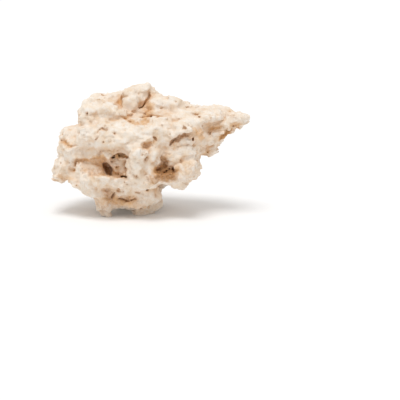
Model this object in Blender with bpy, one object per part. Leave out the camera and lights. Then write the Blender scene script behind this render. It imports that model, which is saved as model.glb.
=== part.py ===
"""Dry reef rock: one loose lump of old, pitted coral limestone, 196 mm long.

The rock is one piece. Rounded masses are fused into one skin, roughened, then
hollowed by the pits, grooves and clefts that the stone shows. It rests on small
flats where its lowest points are worn level.

Metres, +Z up. +X is to the right along the rock's length, -Y is its front. The
origin is on the ground, under the middle of the rock's box.
"""

import math
from typing import NamedTuple

import bmesh
import bpy
from mathutils import Euler, Matrix, Vector, noise

MM = 0.001

# Driving dimensions, in millimetres
LENGTH = 196.0
FUSE_VOXEL = 2.0
SURFACE_VOXEL = 1.25

# Surface relief, as (wavelength, height)
SWELL = (46.0, 2.0)
KNOBS = (19.0, 3.6)
POCKS = (12.0, 3.0)
BEDS = (13.0, 2.0)
GRIT = (7.5, 2.4)

# How sharply knobs rise from their creases, and how wide a pock is within its cell
KNOB_SLOPE = 1.6
POCK_RADIUS = 0.42

# A bed's outward share of each step, and its waviness as (pitch in steps, steps)
BED_JUT = 0.8
BED_WAVE = (0.35, 1.4)

# Pocks gather in patches this far apart; the bias widens them and the gain firms their edges
PATCH_LENGTH = 30.0
PATCH_BIAS = 0.25
PATCH_GAIN = 2.0

# Levels that each part of the relief rises and sinks about
KNOB_LEVEL = 0.5
BED_LEVEL = 0.4
GRIT_LEVEL = 0.3

# Places in the noise where patches and grit are read, so that they differ from the swell
PATCH_OFFSET = Vector((3, 3, 8))
GRIT_OFFSET = Vector((1, 9, 4))

# Random drift as (wavelength, reach), from one fixed draw: of the relief and of a skin
SEED = 2
RELIEF_DRIFT = (17.0, 5.0)
POCK_DRIFT_SHARE = 0.6
MASS_DRIFT = (26.0, 5.0)
HOLLOW_DRIFT = (9.0, 2.2)

# The beds tilt up to the right, and features run longer along them than across
BED_TILT = 14.0
GRAIN = Matrix.Diagonal((0.75, 0.85, 1.25)) @ Matrix.Rotation(math.radians(BED_TILT), 3, "Y")

TRIANGLES = 9600
SQUARENESS = 2.7
LUMP_DETAIL = 3
SOFTEN_SHARE = 0.5
MASS_SOFTENING = 3
SKIN_SOFTENING = 1

# Old coral limestone: cream, matt
STONE_COLOUR = (0.66, 0.51, 0.37, 1.0)
STONE_ROUGHNESS = 0.95


class Lump(NamedTuple):
    """A rounded mass, or a rounded hollow, in millimetres and degrees."""

    centre: tuple
    half: tuple
    turn: tuple = (0.0, 0.0, 0.0)


# The stone's masses, from its left end to its right
MASSES = (
    # Left block: its upright face, the wedge that ends it and its shoulder
    Lump((-74, 0, 64), (16, 30, 20), (0, 4, 8)),
    Lump((-83, -8, 43), (14, 20, 10.5), (0, 10, 10)),
    Lump((-73, -6, 73), (13, 22, 8.5), (0, -8, 0)),
    Lump((-57, 12, 92), (13, 26, 13), (0, -18, 0)),
    # Heart of the rock
    Lump((-40, 6, 66), (34, 42, 32), (0, 0, 0)),
    Lump((4, 4, 64), (40, 42, 32), (0, -14, 0)),
    Lump((-42, -18, 78), (30, 26, 16), (-12, 2, 0)),
    Lump((-4, -20, 78), (32, 26, 18), (-14, -14, 0)),
    Lump((-8, -30, 62), (11, 20, 20), (0, 10, 0)),
    # Belly, its front lip and what the rock stands on
    Lump((-38, -10, 42), (32, 38, 13), (0, 8, 0)),
    Lump((-4, -12, 40), (26, 38, 14), (0, -6, 0)),
    Lump((-59, -14, 31), (20, 22, 8), (0, 34, 0)),
    Lump((-46, -20, 17), (8, 12, 13), (0, -10, 0)),
    Lump((-43, -22, 7), (10, 9, 6), (0, 30, 0)),
    Lump((-38, -23, 2), (5, 6, 5), (0, 0, 0)),
    Lump((-16, -10, 18), (24, 26, 12), (0, 4, 0)),
    Lump((-7, -5, 7), (11, 12, 8.5), (0, 0, 0)),
    Lump((4, -4, 14), (7, 10, 6), (0, 0, 0)),
    Lump((-30, 34, 16), (20, 17, 19), (0, -12, 0)),
    Lump((-2, 36, 18), (10, 14, 21), (0, 10, 0)),
    Lump((-4, 24, 36), (24, 26, 14), (0, 0, 0)),
    Lump((-36, 26, 38), (30, 26, 16), (0, 0, 0)),
    Lump((-16, 14, 19), (26, 20, 11), (0, 0, 0)),
    # Upper left slab
    Lump((-40, 0, 105), (24, 32, 8), (8, 4, 0)),
    Lump((-47, 18, 109), (9, 15, 7), (0, 0, 0)),
    # Crest: two knobs with a cleft between them, and what backs them
    Lump((-18, -2, 110), (8, 18, 12), (0, 6, 0)),
    Lump((-12, 8, 115), (9, 14, 10), (0, 0, 0)),
    Lump((-3, 10, 119), (6, 10, 9), (0, 0, 0)),
    Lump((6, 0, 109), (7.5, 15, 10.5), (0, 0, 0)),
    Lump((-3, 6, 108), (9, 12, 12), (0, 0, 0)),
    Lump((-8, 28, 106), (26, 20, 12), (0, 0, 0)),
    Lump((-32, 22, 107), (14, 20, 9), (0, 0, 0)),
    # Right shoulder
    Lump((20, 8, 104), (18, 26, 8.5), (0, 14, 0)),
    Lump((34, 4, 92), (26, 32, 13), (0, 6, 0)),
    Lump((24, -22, 82), (26, 20, 11), (-10, -20, 0)),
    Lump((34, -6, 70), (20, 28, 14), (0, -20, 0)),
    Lump((48, 2, 76), (15, 22, 12), (0, -20, 0)),
    # Right cheek, with the round lobe and the spur
    Lump((36, -26, 50), (13, 19, 15), (0, 8, 0)),
    Lump((29, -24, 38), (15, 20, 8), (0, 0, 0)),
    Lump((14, -24, 50), (14, 20, 12), (0, 0, 0)),
    Lump((26, 6, 46), (20, 26, 16), (0, 0, 0)),
    Lump((60, -6, 64), (6.5, 9, 6.5), (0, 0, 0)),
    # Tongue, its knobbed tip and the lip under it
    Lump((58, 2, 97), (22, 24, 8), (0, 2, 0)),
    Lump((76, -2, 94), (15, 17, 8.5), (0, 4, 0)),
    Lump((90, -5, 93), (9.5, 12, 9), (0, 6, 0)),
    Lump((64, 0, 87), (14, 18, 8), (0, -10, 0)),
    Lump((74, -3, 82), (19, 15, 6.5), (0, -36, 0)),
    # Back
    Lump((-40, 40, 68), (28, 22, 26), (0, 0, 16)),
    Lump((4, 38, 68), (28, 20, 26), (0, 10, -10)),
    Lump((40, 24, 84), (22, 18, 13), (0, 8, 0)),
    Lump((-64, 30, 60), (16, 18, 18), (0, 0, 0)),
)

HOLLOWS = (
    # Great pit: its bowl, then the gaps round the plug of stone inside it
    Lump((-32, -50, 54), (12, 20, 12), (0, 0, 0)),
    Lump((-39, -34, 49), (5, 18, 7), (0, -30, 0)),
    Lump((-29, -34, 65), (10, 18, 3.6), (0, 4, 0)),
    Lump((-25, -34, 44), (4, 14, 2.4), (0, 0, 0)),
    # Trough that leads into it from the left
    Lump((-52, -48, 53), (16, 18, 8), (0, 0, 14)),
    Lump((-67, -38, 58), (6, 10, 3.5), (0, 0, 10)),
    # Second pit, with a shallow hollow below it
    Lump((16, -44, 53), (9, 15, 6.5), (0, 0, 0)),
    Lump((14, -44, 61), (3.5, 10, 5), (0, 0, 0)),
    Lump((18, -52, 42), (10, 12, 6), (0, 0, 0)),
    # Two small clefts on the diagonal ridge
    Lump((7, -48, 82), (3, 9, 4.5), (0, 20, 0)),
    Lump((0, -48, 75), (5, 9, 3.5), (0, -50, 0)),
    # Arched groove above the right cheek
    Lump((26, -44, 78), (7, 12, 3), (0, -38, 0)),
    Lump((36, -42, 84), (7, 12, 3), (0, -8, 0)),
    # Notch and cleft in the crest
    Lump((-29, -14, 111), (4, 12, 7), (0, 0, 0)),
    Lump((1, -6, 117), (2, 11, 6), (0, 10, 0)),
    Lump((-5, -14, 108), (1.7, 8, 7), (0, 42, 0)),
    # Step under the upper slab, and the stained recess at its end
    Lump((-54, -36, 100), (14, 9, 2.6), (0, 4, 0)),
    Lump((-32, -38, 97), (15, 9, 2.6), (0, 8, 0)),
    Lump((-8, -38, 97), (13, 11, 3.4), (0, 4, 0)),
    Lump((12, -34, 101), (10, 10, 3), (0, 8, 0)),
    # Hollows under the tongue
    Lump((63, -24, 88), (11, 8, 4), (0, -16, 0)),
    Lump((78, -18, 80), (6, 8, 4), (0, -40, 0)),
    # Nick in the left block, and the notch behind its wedge
    Lump((-86, -22, 78), (8, 14, 3), (0, 22, 0)),
    Lump((-79, -12, 33), (3.5, 20, 4), (0, 0, 0)),
    # Clefts under the belly
    Lump((-35, -38, 25), (3.5, 10, 4), (0, -10, 0)),
    Lump((-24, -38, 20), (11, 10, 2.4), (0, 4, 0)),
    # Pits on the back, the top, the left end and underneath
    Lump((-34, 66, 74), (10, 14, 8), (0, 0, 0)),
    Lump((14, 62, 54), (8, 14, 7), (0, 0, 0)),
    Lump((-10, 60, 96), (12, 10, 4), (0, 6, 0)),
    Lump((40, 46, 84), (8, 10, 5), (0, 0, 0)),
    Lump((26, 20, 114), (7, 8, 6), (0, 0, 0)),
    Lump((-94, 12, 60), (8, 8, 6), (0, 0, 0)),
    Lump((10, 2, 22), (12, 14, 8), (0, 0, 0)),
)


def lump_matrix(lump):
    """Places and stretches a unit ball as one lump."""
    turn = Euler([math.radians(angle) for angle in lump.turn]).to_matrix().to_4x4()
    stretch = Matrix.Diagonal((*[half * MM for half in lump.half], 1.0))
    return Matrix.Translation(Vector(lump.centre) * MM) @ turn @ stretch


def squared(point):
    """Pushes a point of the unit ball out towards a rounded block."""
    reach = sum(abs(part) ** SQUARENESS for part in point) ** (1 / SQUARENESS)
    return point / reach


def lumps_mesh(name, lumps):
    """All lumps as overlapping closed balls in one mesh."""
    bm = bmesh.new()
    for lump in lumps:
        ball = bmesh.ops.create_icosphere(bm, subdivisions=LUMP_DETAIL, radius=1.0)
        for vert in ball["verts"]:
            vert.co = squared(vert.co)
        bmesh.ops.transform(bm, matrix=lump_matrix(lump), verts=ball["verts"])
    mesh = bpy.data.meshes.new(name)
    bm.to_mesh(mesh)
    bm.free()
    return mesh


def new_object(name, mesh):
    """Links a mesh to the scene as an object."""
    obj = bpy.data.objects.new(name, mesh)
    bpy.context.scene.collection.objects.link(obj)
    return obj


def settle(obj):
    """Bakes the object's modifiers into its mesh."""
    bpy.context.view_layer.update()
    graph = bpy.context.evaluated_depsgraph_get()
    mesh = bpy.data.meshes.new_from_object(obj.evaluated_get(graph))
    obj.modifiers.clear()
    obj.data = mesh


def fuse(obj, voxel):
    """Melts overlapping closed shapes into one even skin."""
    remesh = obj.modifiers.new("Fuse", "REMESH")
    remesh.mode = "VOXEL"
    remesh.voxel_size = voxel * MM
    remesh.adaptivity = 0.0
    settle(obj)


def soften(obj, rounds):
    """Eases the creases between fused shapes."""
    smooth = obj.modifiers.new("Soften", "SMOOTH")
    smooth.factor = SOFTEN_SHARE
    smooth.iterations = rounds
    settle(obj)


def stretched(point):
    """The point in the stone's own grain, whose beds tilt up to the right."""
    return GRAIN @ point


def knobs(point):
    """Rounded knobs with creases between them, from 0 in a crease to 1 on top."""
    nearest = noise.voronoi(point)[0]
    return min(1.0, (nearest[1] - nearest[0]) * KNOB_SLOPE)


def pocks(point):
    """Shallow round pits, 1 at the middle of each and 0 between them."""
    reach = noise.voronoi(point)[0][0] / POCK_RADIUS
    return max(0.0, 1.0 - reach * reach)


def beds(point):
    """A stepped profile across the grain: each bed juts out, then is undercut."""
    pitch, height = BED_WAVE
    share = (point.z + noise.noise(point * pitch) * height) % 1.0
    return share if share < BED_JUT else (1.0 - share) * BED_JUT / (1.0 - BED_JUT)


def relief(point):
    """Height of the rough surface at a point, in millimetres."""
    p = point / MM
    q = stretched(p)
    swell = noise.noise(p / SWELL[0]) * SWELL[1]
    warp = noise.noise_vector(p / RELIEF_DRIFT[0]) * RELIEF_DRIFT[1]
    lumpy = (knobs((q + warp) / KNOBS[0]) - KNOB_LEVEL) * KNOBS[1]
    patch = max(0.0, noise.noise(p / PATCH_LENGTH + PATCH_OFFSET) + PATCH_BIAS)
    pock = -pocks((p + warp * POCK_DRIFT_SHARE) / POCKS[0]) * min(1.0, patch * PATCH_GAIN) * POCKS[1]
    ledge = (beds(q / BEDS[0]) - BED_LEVEL) * BEDS[1]
    grit = (GRIT_LEVEL - abs(noise.noise(p / GRIT[0] + GRIT_OFFSET))) * GRIT[1]
    return swell + lumpy + pock + ledge + grit


def roughen(obj):
    """Raises and sinks the skin along its normals by the relief."""
    bm = bmesh.new()
    bm.from_mesh(obj.data)
    bm.normal_update()
    moves = [vert.normal * (relief(vert.co) * MM) for vert in bm.verts]
    for vert, move in zip(bm.verts, moves):
        vert.co += move
    bm.to_mesh(obj.data)
    bm.free()


def drift(obj, wavelength, reach):
    """Shifts every point of a skin by a smooth random amount, in millimetres."""
    for vert in obj.data.vertices:
        vert.co += noise.noise_vector(vert.co / MM / wavelength) * reach * MM


def carve(obj, hollows):
    """Cuts the hollows out of the rock."""
    cutter = new_object("hollows", lumps_mesh("hollows", hollows))
    fuse(cutter, SURFACE_VOXEL)
    drift(cutter, *HOLLOW_DRIFT)
    cut = obj.modifiers.new("Carve", "BOOLEAN")
    cut.operation = "DIFFERENCE"
    cut.object = cutter
    settle(obj)
    bpy.data.objects.remove(cutter)


def drop_chips(obj):
    """Keeps the largest skin: loose chips and sealed bubbles go."""
    bm = bmesh.new()
    bm.from_mesh(obj.data)
    left = set(bm.verts)
    skins = []
    while left:
        skin = {left.pop()}
        edge_of_skin = set(skin)
        while edge_of_skin:
            touched = {edge.other_vert(vert) for vert in edge_of_skin for edge in vert.link_edges}
            edge_of_skin = touched - skin
            skin |= edge_of_skin
        left -= skin
        skins.append(skin)
    skins.sort(key=len)
    bmesh.ops.delete(bm, geom=[vert for skin in skins[:-1] for vert in skin], context="VERTS")
    bm.to_mesh(obj.data)
    bm.free()


def thin_out(obj, triangles):
    """Leaves only the triangles that the shape needs."""
    obj.data.calc_loop_triangles()
    thin = obj.modifiers.new("Thin", "DECIMATE")
    thin.ratio = triangles / len(obj.data.loop_triangles)
    thin.use_collapse_triangulate = True
    settle(obj)


def wear_flat(obj):
    """Cuts off what is below the ground and closes the cut with flat faces."""
    bm = bmesh.new()
    bm.from_mesh(obj.data)
    geometry = bm.verts[:] + bm.edges[:] + bm.faces[:]
    cut = bmesh.ops.bisect_plane(bm, geom=geometry, plane_no=(0, 0, -1), clear_outer=True)
    edges = [item for item in cut["geom_cut"] if isinstance(item, bmesh.types.BMEdge)]
    bmesh.ops.contextual_create(bm, geom=edges)
    bmesh.ops.triangulate(bm, faces=bm.faces)
    bm.to_mesh(obj.data)
    bm.free()


def centre(obj):
    """Scales the rock to its length and centres its box over the origin."""
    corners = [vert.co for vert in obj.data.vertices]
    low = Vector([min(corner[axis] for corner in corners) for axis in range(3)])
    high = Vector([max(corner[axis] for corner in corners) for axis in range(3)])
    middle = (low + high) / 2
    place = Matrix.Translation((-middle.x, -middle.y, -low.z))
    obj.data.transform(Matrix.Scale(LENGTH * MM / (high.x - low.x), 4) @ place)


def stone():
    """The rock's one material."""
    material = bpy.data.materials.new("reef stone")
    material.use_nodes = True
    shader = material.node_tree.nodes["Principled BSDF"]
    shader.inputs["Base Color"].default_value = STONE_COLOUR
    shader.inputs["Roughness"].default_value = STONE_ROUGHNESS
    shader.inputs["Metallic"].default_value = 0.0
    return material


def build():
    """The whole rock."""
    rock = new_object("reef_rock", lumps_mesh("reef_rock", MASSES))
    fuse(rock, FUSE_VOXEL)
    soften(rock, MASS_SOFTENING)
    drift(rock, *MASS_DRIFT)
    fuse(rock, SURFACE_VOXEL)
    roughen(rock)
    carve(rock, HOLLOWS)
    fuse(rock, SURFACE_VOXEL)
    soften(rock, SKIN_SOFTENING)
    drop_chips(rock)
    thin_out(rock, TRIANGLES)
    wear_flat(rock)
    centre(rock)
    rock.data.materials.append(stone())
    return rock


def main():
    """Clears the scene and builds the rock."""
    for obj in list(bpy.data.objects):
        bpy.data.objects.remove(obj)
    noise.seed_set(SEED)
    build()


if __name__ == "__main__":
    main()
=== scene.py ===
"""Looks of a dry reef rock: chalky limestone with ledges, pits, clefts, pores, rusty stains and painted shade
in its hollows and shaded places.
"""

import logging
import math
import random
from dataclasses import dataclass
from enum import Enum

import bmesh
import bpy
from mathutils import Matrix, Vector
from mathutils.bvhtree import BVHTree


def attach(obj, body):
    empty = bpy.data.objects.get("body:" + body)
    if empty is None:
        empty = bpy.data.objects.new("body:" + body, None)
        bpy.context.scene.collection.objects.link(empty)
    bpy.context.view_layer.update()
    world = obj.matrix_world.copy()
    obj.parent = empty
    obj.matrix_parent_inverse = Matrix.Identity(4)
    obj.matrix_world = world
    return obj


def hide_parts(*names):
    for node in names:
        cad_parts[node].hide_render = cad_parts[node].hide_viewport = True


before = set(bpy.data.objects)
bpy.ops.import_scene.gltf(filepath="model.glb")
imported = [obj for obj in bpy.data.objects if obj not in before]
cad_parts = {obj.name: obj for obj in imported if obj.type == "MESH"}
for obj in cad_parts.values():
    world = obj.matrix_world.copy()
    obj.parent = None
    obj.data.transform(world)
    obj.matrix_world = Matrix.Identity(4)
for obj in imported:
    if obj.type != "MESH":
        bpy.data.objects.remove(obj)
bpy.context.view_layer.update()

log = logging.getLogger("reef_rock")

MM = 0.001
NODE = "reef_rock"
BODY = "root"

# Curve from screen colours to linear ones.
FULL_CHANNEL = 255
TOE_END = 0.04045
TOE_SLOPE = 12.92
TOE_LIFT = 0.055
SCREEN_POWER = 2.4

WHITE = (1.0, 1.0, 1.0, 1.0)
NOISE_MIDDLE = 0.5

# Places of the lowest and the highest corner in a bounding box.
LOW_CORNER = 0
HIGH_CORNER = 6

# Golden angle, as a share of half a turn.
GOLDEN_SHARE = 3.0 - math.sqrt(5.0)

Colour = tuple[float, float, float, float]
Triple = tuple[float, float, float]
Pair = tuple[float, float]
Socket = bpy.types.NodeSocket


def linear(red: int, green: int, blue: int) -> Colour:
    """Turns an eight-bit screen colour into a linear one.

    Args:
        red: Red, 0 to 255.
        green: Green, 0 to 255.
        blue: Blue, 0 to 255.

    Returns:
        The linear colour with full opacity.
    """

    def channel(value: int) -> float:
        """Turns one channel into a linear one.

        Args:
            value: Its level, 0 to 255.

        Returns:
            Its linear level, 0 to 1.
        """
        share = value / FULL_CHANNEL
        if share <= TOE_END:
            return share / TOE_SLOPE
        return ((share + TOE_LIFT) / (1.0 + TOE_LIFT)) ** SCREEN_POWER

    return (channel(red), channel(green), channel(blue), 1.0)


def settle(piece: bpy.types.Object) -> None:
    """Applies a piece's modifiers to its mesh.

    Args:
        piece: Object whose modifiers are applied and removed.
    """
    graph = bpy.context.evaluated_depsgraph_get()
    mesh = bpy.data.meshes.new_from_object(piece.evaluated_get(graph))
    piece.modifiers.clear()
    piece.data = mesh


def linked(name: str, data: bpy.types.ID) -> bpy.types.Object:
    """Makes an object and puts it in the scene.

    Args:
        name: Its name.
        data: Its mesh, camera or light.

    Returns:
        The new object.
    """
    thing = bpy.data.objects.new(name, data)
    bpy.context.scene.collection.objects.link(thing)
    return thing


@dataclass(frozen=True)
class Waves:
    """A noise around 0.

    Attributes:
        length: Length of its waves, in millimetres.
        octaves: Finer waves added to the first.
        rough: Share of each finer wave.
        shift: Offset that makes it differ from other noises.
        strength: Difference between its lowest and its highest level, about.
    """

    length: float
    octaves: float
    rough: float = 0.5
    shift: Triple = (0.0, 0.0, 0.0)
    strength: float = 1.0


@dataclass(frozen=True)
class Ramp:
    """Rise of one value with another.

    Attributes:
        low: Value that gives 0.
        high: Value that gives the most.
        most: The most that it gives.
        smooth: True for a smooth step instead of a straight one.
    """

    low: float
    high: float
    most: float = 1.0
    smooth: bool = False


class NodeGraph:
    """Adds nodes to a node tree and joins them, so that a formula can be written as nested calls."""

    def __init__(self, tree: bpy.types.NodeTree) -> None:
        """Starts on a geometry or shader node tree."""
        self.tree = tree

    @classmethod
    def geometry(cls, title: str) -> "NodeGraph":
        """Starts a new geometry node tree.

        Args:
            title: Its name.

        Returns:
            The graph of a tree with one geometry going in and one coming out.
        """
        tree = bpy.data.node_groups.new(title, "GeometryNodeTree")
        for way in ("INPUT", "OUTPUT"):
            tree.interface.new_socket("Geometry", in_out=way, socket_type="NodeSocketGeometry")
        return cls(tree)

    def run_on(self, piece: bpy.types.Object, result: Socket) -> None:
        """Ends a geometry node tree and runs it on a piece.

        Args:
            piece: Object whose mesh goes in and is replaced.
            result: Geometry that comes out.
        """
        self.feed(self.add("NodeGroupOutput").inputs[0], result)
        piece.modifiers.new(self.tree.name, "NODES").node_group = self.tree
        settle(piece)

    def add(self, kind: str, **settings: object) -> bpy.types.Node:
        """Adds one node.

        Args:
            kind: Blender's name of the node type.
            **settings: Properties to set on it.

        Returns:
            The new node.
        """
        node = self.tree.nodes.new(kind)
        for name, value in settings.items():
            setattr(node, name, value)
        return node

    def feed(self, socket: Socket, value: object) -> None:
        """Links an output into a socket, or sets the socket's own value.

        Args:
            socket: Input socket.
            value: An output socket, or a plain value.
        """
        if isinstance(value, bpy.types.NodeSocket):
            self.tree.links.new(value, socket)
        else:
            socket.default_value = value

    def fill(self, node: bpy.types.Node, **values: object) -> bpy.types.Node:
        """Feeds several inputs of a node.

        Args:
            node: The node.
            **values: Values by the inputs' names, with underscores for their spaces.

        Returns:
            The same node.
        """
        for name, value in values.items():
            self.feed(node.inputs[name.replace("_", " ")], value)
        return node

    def maths(self, operation: str, *terms: object, clamp: bool = False) -> Socket:
        """Adds a Math node.

        Args:
            operation: Name of the operation.
            *terms: Its inputs, sockets or numbers.
            clamp: True to keep the result between 0 and 1.

        Returns:
            The result's socket.
        """
        node = self.add("ShaderNodeMath", operation=operation, use_clamp=clamp)
        for socket, term in zip(node.inputs, terms):
            self.feed(socket, term)
        return node.outputs[0]

    def vectors(self, operation: str, *terms: object) -> Socket:
        """Adds a Vector Math node.

        Args:
            operation: Name of the operation.
            *terms: Its inputs. The last one of SCALE is the factor.

        Returns:
            The result's socket, a number for DOT_PRODUCT and DISTANCE.
        """
        node = self.add("ShaderNodeVectorMath", operation=operation)
        if operation == "SCALE":
            self.feed(node.inputs[0], terms[0])
            self.feed(node.inputs["Scale"], terms[1])
        else:
            for socket, term in zip(node.inputs, terms):
                self.feed(socket, term)
        plain = operation in ("DOT_PRODUCT", "DISTANCE")
        return node.outputs["Value" if plain else "Vector"]

    def part(self, vector: Socket, axis: str) -> Socket:
        """Takes one part of a vector or colour.

        Args:
            vector: The vector.
            axis: Which part, X, Y or Z.

        Returns:
            The part's socket.
        """
        node = self.add("ShaderNodeSeparateXYZ")
        self.feed(node.inputs[0], vector)
        return node.outputs[axis]

    def ramp(self, value: Socket, ramp: Ramp) -> Socket:
        """Maps a value along a ramp, clamped to its ends.

        Args:
            value: Socket to map.
            ramp: The ramp.

        Returns:
            The result's socket, 0 to the ramp's most.
        """
        kind = "SMOOTHSTEP" if ramp.smooth else "LINEAR"
        node = self.add("ShaderNodeMapRange", interpolation_type=kind)
        self.fill(node, Value=value, From_Min=ramp.low, From_Max=ramp.high)
        return self.maths("MULTIPLY", node.outputs["Result"], ramp.most)

    def noise(self, place: Socket, waves: Waves) -> Socket:
        """Adds a noise, read at a place in millimetres."""
        level = self.maths("SUBTRACT", self.waved(place, waves).outputs["Fac"], NOISE_MIDDLE)
        return self.maths("MULTIPLY", level, waves.strength)

    def strayed(self, place: Socket, waves: Waves) -> Socket:
        """Shifts a place to and fro along all three axes.

        Args:
            place: The place, in millimetres.
            waves: Settings of the noise that shifts it.

        Returns:
            The shifted place's socket.
        """
        colour = self.waved(place, waves).outputs["Color"]
        stray = self.vectors("SUBTRACT", colour, (NOISE_MIDDLE, NOISE_MIDDLE, NOISE_MIDDLE))
        return self.vectors("ADD", place, self.vectors("SCALE", stray, waves.strength))

    def waved(self, place: Socket, waves: Waves) -> bpy.types.Node:
        """Adds a noise's own node.

        Args:
            place: Place to read it at, in millimetres.
            waves: Its settings.

        Returns:
            The node, whose outputs go from 0 to 1.
        """
        node = self.add("ShaderNodeTexNoise", noise_dimensions="3D")
        spot = self.vectors("ADD", place, waves.shift)
        return self.fill(
            node, Vector=spot, Scale=1.0 / waves.length, Detail=waves.octaves, Roughness=waves.rough
        )

    def cells(self, place: Socket, length: float, shift: Triple) -> Socket:
        """Adds the distance to the nearest of scattered points.

        Args:
            place: Place to read it at, in millimetres.
            length: Mean distance between the points, in millimetres.
            shift: Offset that makes it differ from other scatters.

        Returns:
            The distance's socket, in millimetres.
        """
        node = self.add("ShaderNodeTexVoronoi", voronoi_dimensions="3D", feature="F1")
        self.fill(node, Vector=self.vectors("ADD", place, shift), Scale=1.0 / length)
        return self.maths("MULTIPLY", node.outputs["Distance"], length)

    def blocks(self, place: Socket, length: float, soft: float) -> Socket:
        """Adds a level that changes in steps from one angular block of space to the next.

        Args:
            place: Place to read it at, in millimetres.
            length: Mean size of the blocks, in millimetres.
            soft: Roundness of the steps, 0 to 1.

        Returns:
            The level's socket, -0.5 to 0.5.
        """
        node = self.add("ShaderNodeTexVoronoi", voronoi_dimensions="3D", feature="SMOOTH_F1")
        self.fill(node, Vector=place, Scale=1.0 / length, Smoothness=soft)
        return self.maths("SUBTRACT", self.part(node.outputs["Color"], "X"), NOISE_MIDDLE)


@dataclass(frozen=True)
class PhotoView:
    """Camera at the photograph's viewing angle.

    Attributes:
        elevation: Angle at which it looks down, in radians.
        distance: From the camera to what it aims at, in metres.
        aim: Point of the floor under what it aims at, in metres.
        aim_rise: How far up in the picture it aims from that point, in metres.
        lens: Focal length, in millimetres.
        sensor: Width of the sensor, in millimetres.
        pixels: Width and height of the photograph.
    """

    elevation: float = math.radians(12.0)
    distance: float = 1.15
    aim: Triple = (0.0485, -0.0045, 0.0)
    aim_rise: float = 0.0118
    lens: float = 103.5
    sensor: float = 36.0
    pixels: int = 400

    @property
    def back(self) -> Vector:
        """Unit vector from the rock towards the camera."""
        return Vector((0.0, -math.cos(self.elevation), math.sin(self.elevation)))

    @property
    def up(self) -> Vector:
        """Unit vector up in the picture."""
        return Vector((0.0, math.sin(self.elevation), math.cos(self.elevation)))

    @property
    def eye(self) -> Vector:
        """Place of the camera."""
        return Vector(self.aim) + self.up * self.aim_rise + self.back * self.distance

    def ray(self, column: float, row: float) -> Vector:
        """Direction in which the camera sees a pixel.

        Args:
            column: Pixels from the photograph's left edge.
            row: Pixels from its top edge.

        Returns:
            A unit vector away from the camera.
        """
        half = self.pixels / 2
        step = self.sensor / (2 * self.lens * half)
        across = Vector((1.0, 0.0, 0.0)) * (column - half) * step
        return (across + self.up * (half - row) * step - self.back).normalized()

    def build(self) -> bpy.types.Object:
        """Makes the camera and sets it as the scene's own.

        Returns:
            The camera object.
        """
        data = bpy.data.cameras.new("photo_camera")
        data.sensor_width = self.sensor
        data.lens = self.lens
        camera = linked("photo_camera", data)
        camera.location = self.eye
        camera.rotation_euler = (-self.back).to_track_quat("-Z", "Y").to_euler()
        bpy.context.scene.camera = camera
        return camera


class MarkKind(Enum):
    """What a mark does to the stone."""

    CUT = "cut"
    GROWTH = "growth"
    # Only colours the stone: real stains, and painted shade on the shade marks.
    STAIN_AND_SHADE = "stain"


@dataclass(frozen=True)
class Mark:
    """One feature of the rock's front, followed along its path in the photograph.

    Attributes:
        name: What it is.
        kind: Whether it is cut in, stands out or only colours the stone.
        path: Points of the path, each the pixel's column and row and the radius there in millimetres.
        depth: How far it goes in behind the surface, in millimetres.
        rust: Strength of its orange colour, 0 to 1: a stain, and painted warm shade on the shade marks.
        umber: Strength of its dark brown colour, 0 to 1: a stain, and painted shade on the shade marks.
        front: Plane that its points lie on, in millimetres along Y, where they don't follow the surface.
    """

    name: str
    kind: MarkKind
    path: tuple[Triple, ...]
    depth: float = 0.0
    rust: float = 0.0
    umber: float = 0.0
    front: float | None = None


CUT, GROWTH, STAIN_AND_SHADE = MarkKind.CUT, MarkKind.GROWTH, MarkKind.STAIN_AND_SHADE

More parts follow.
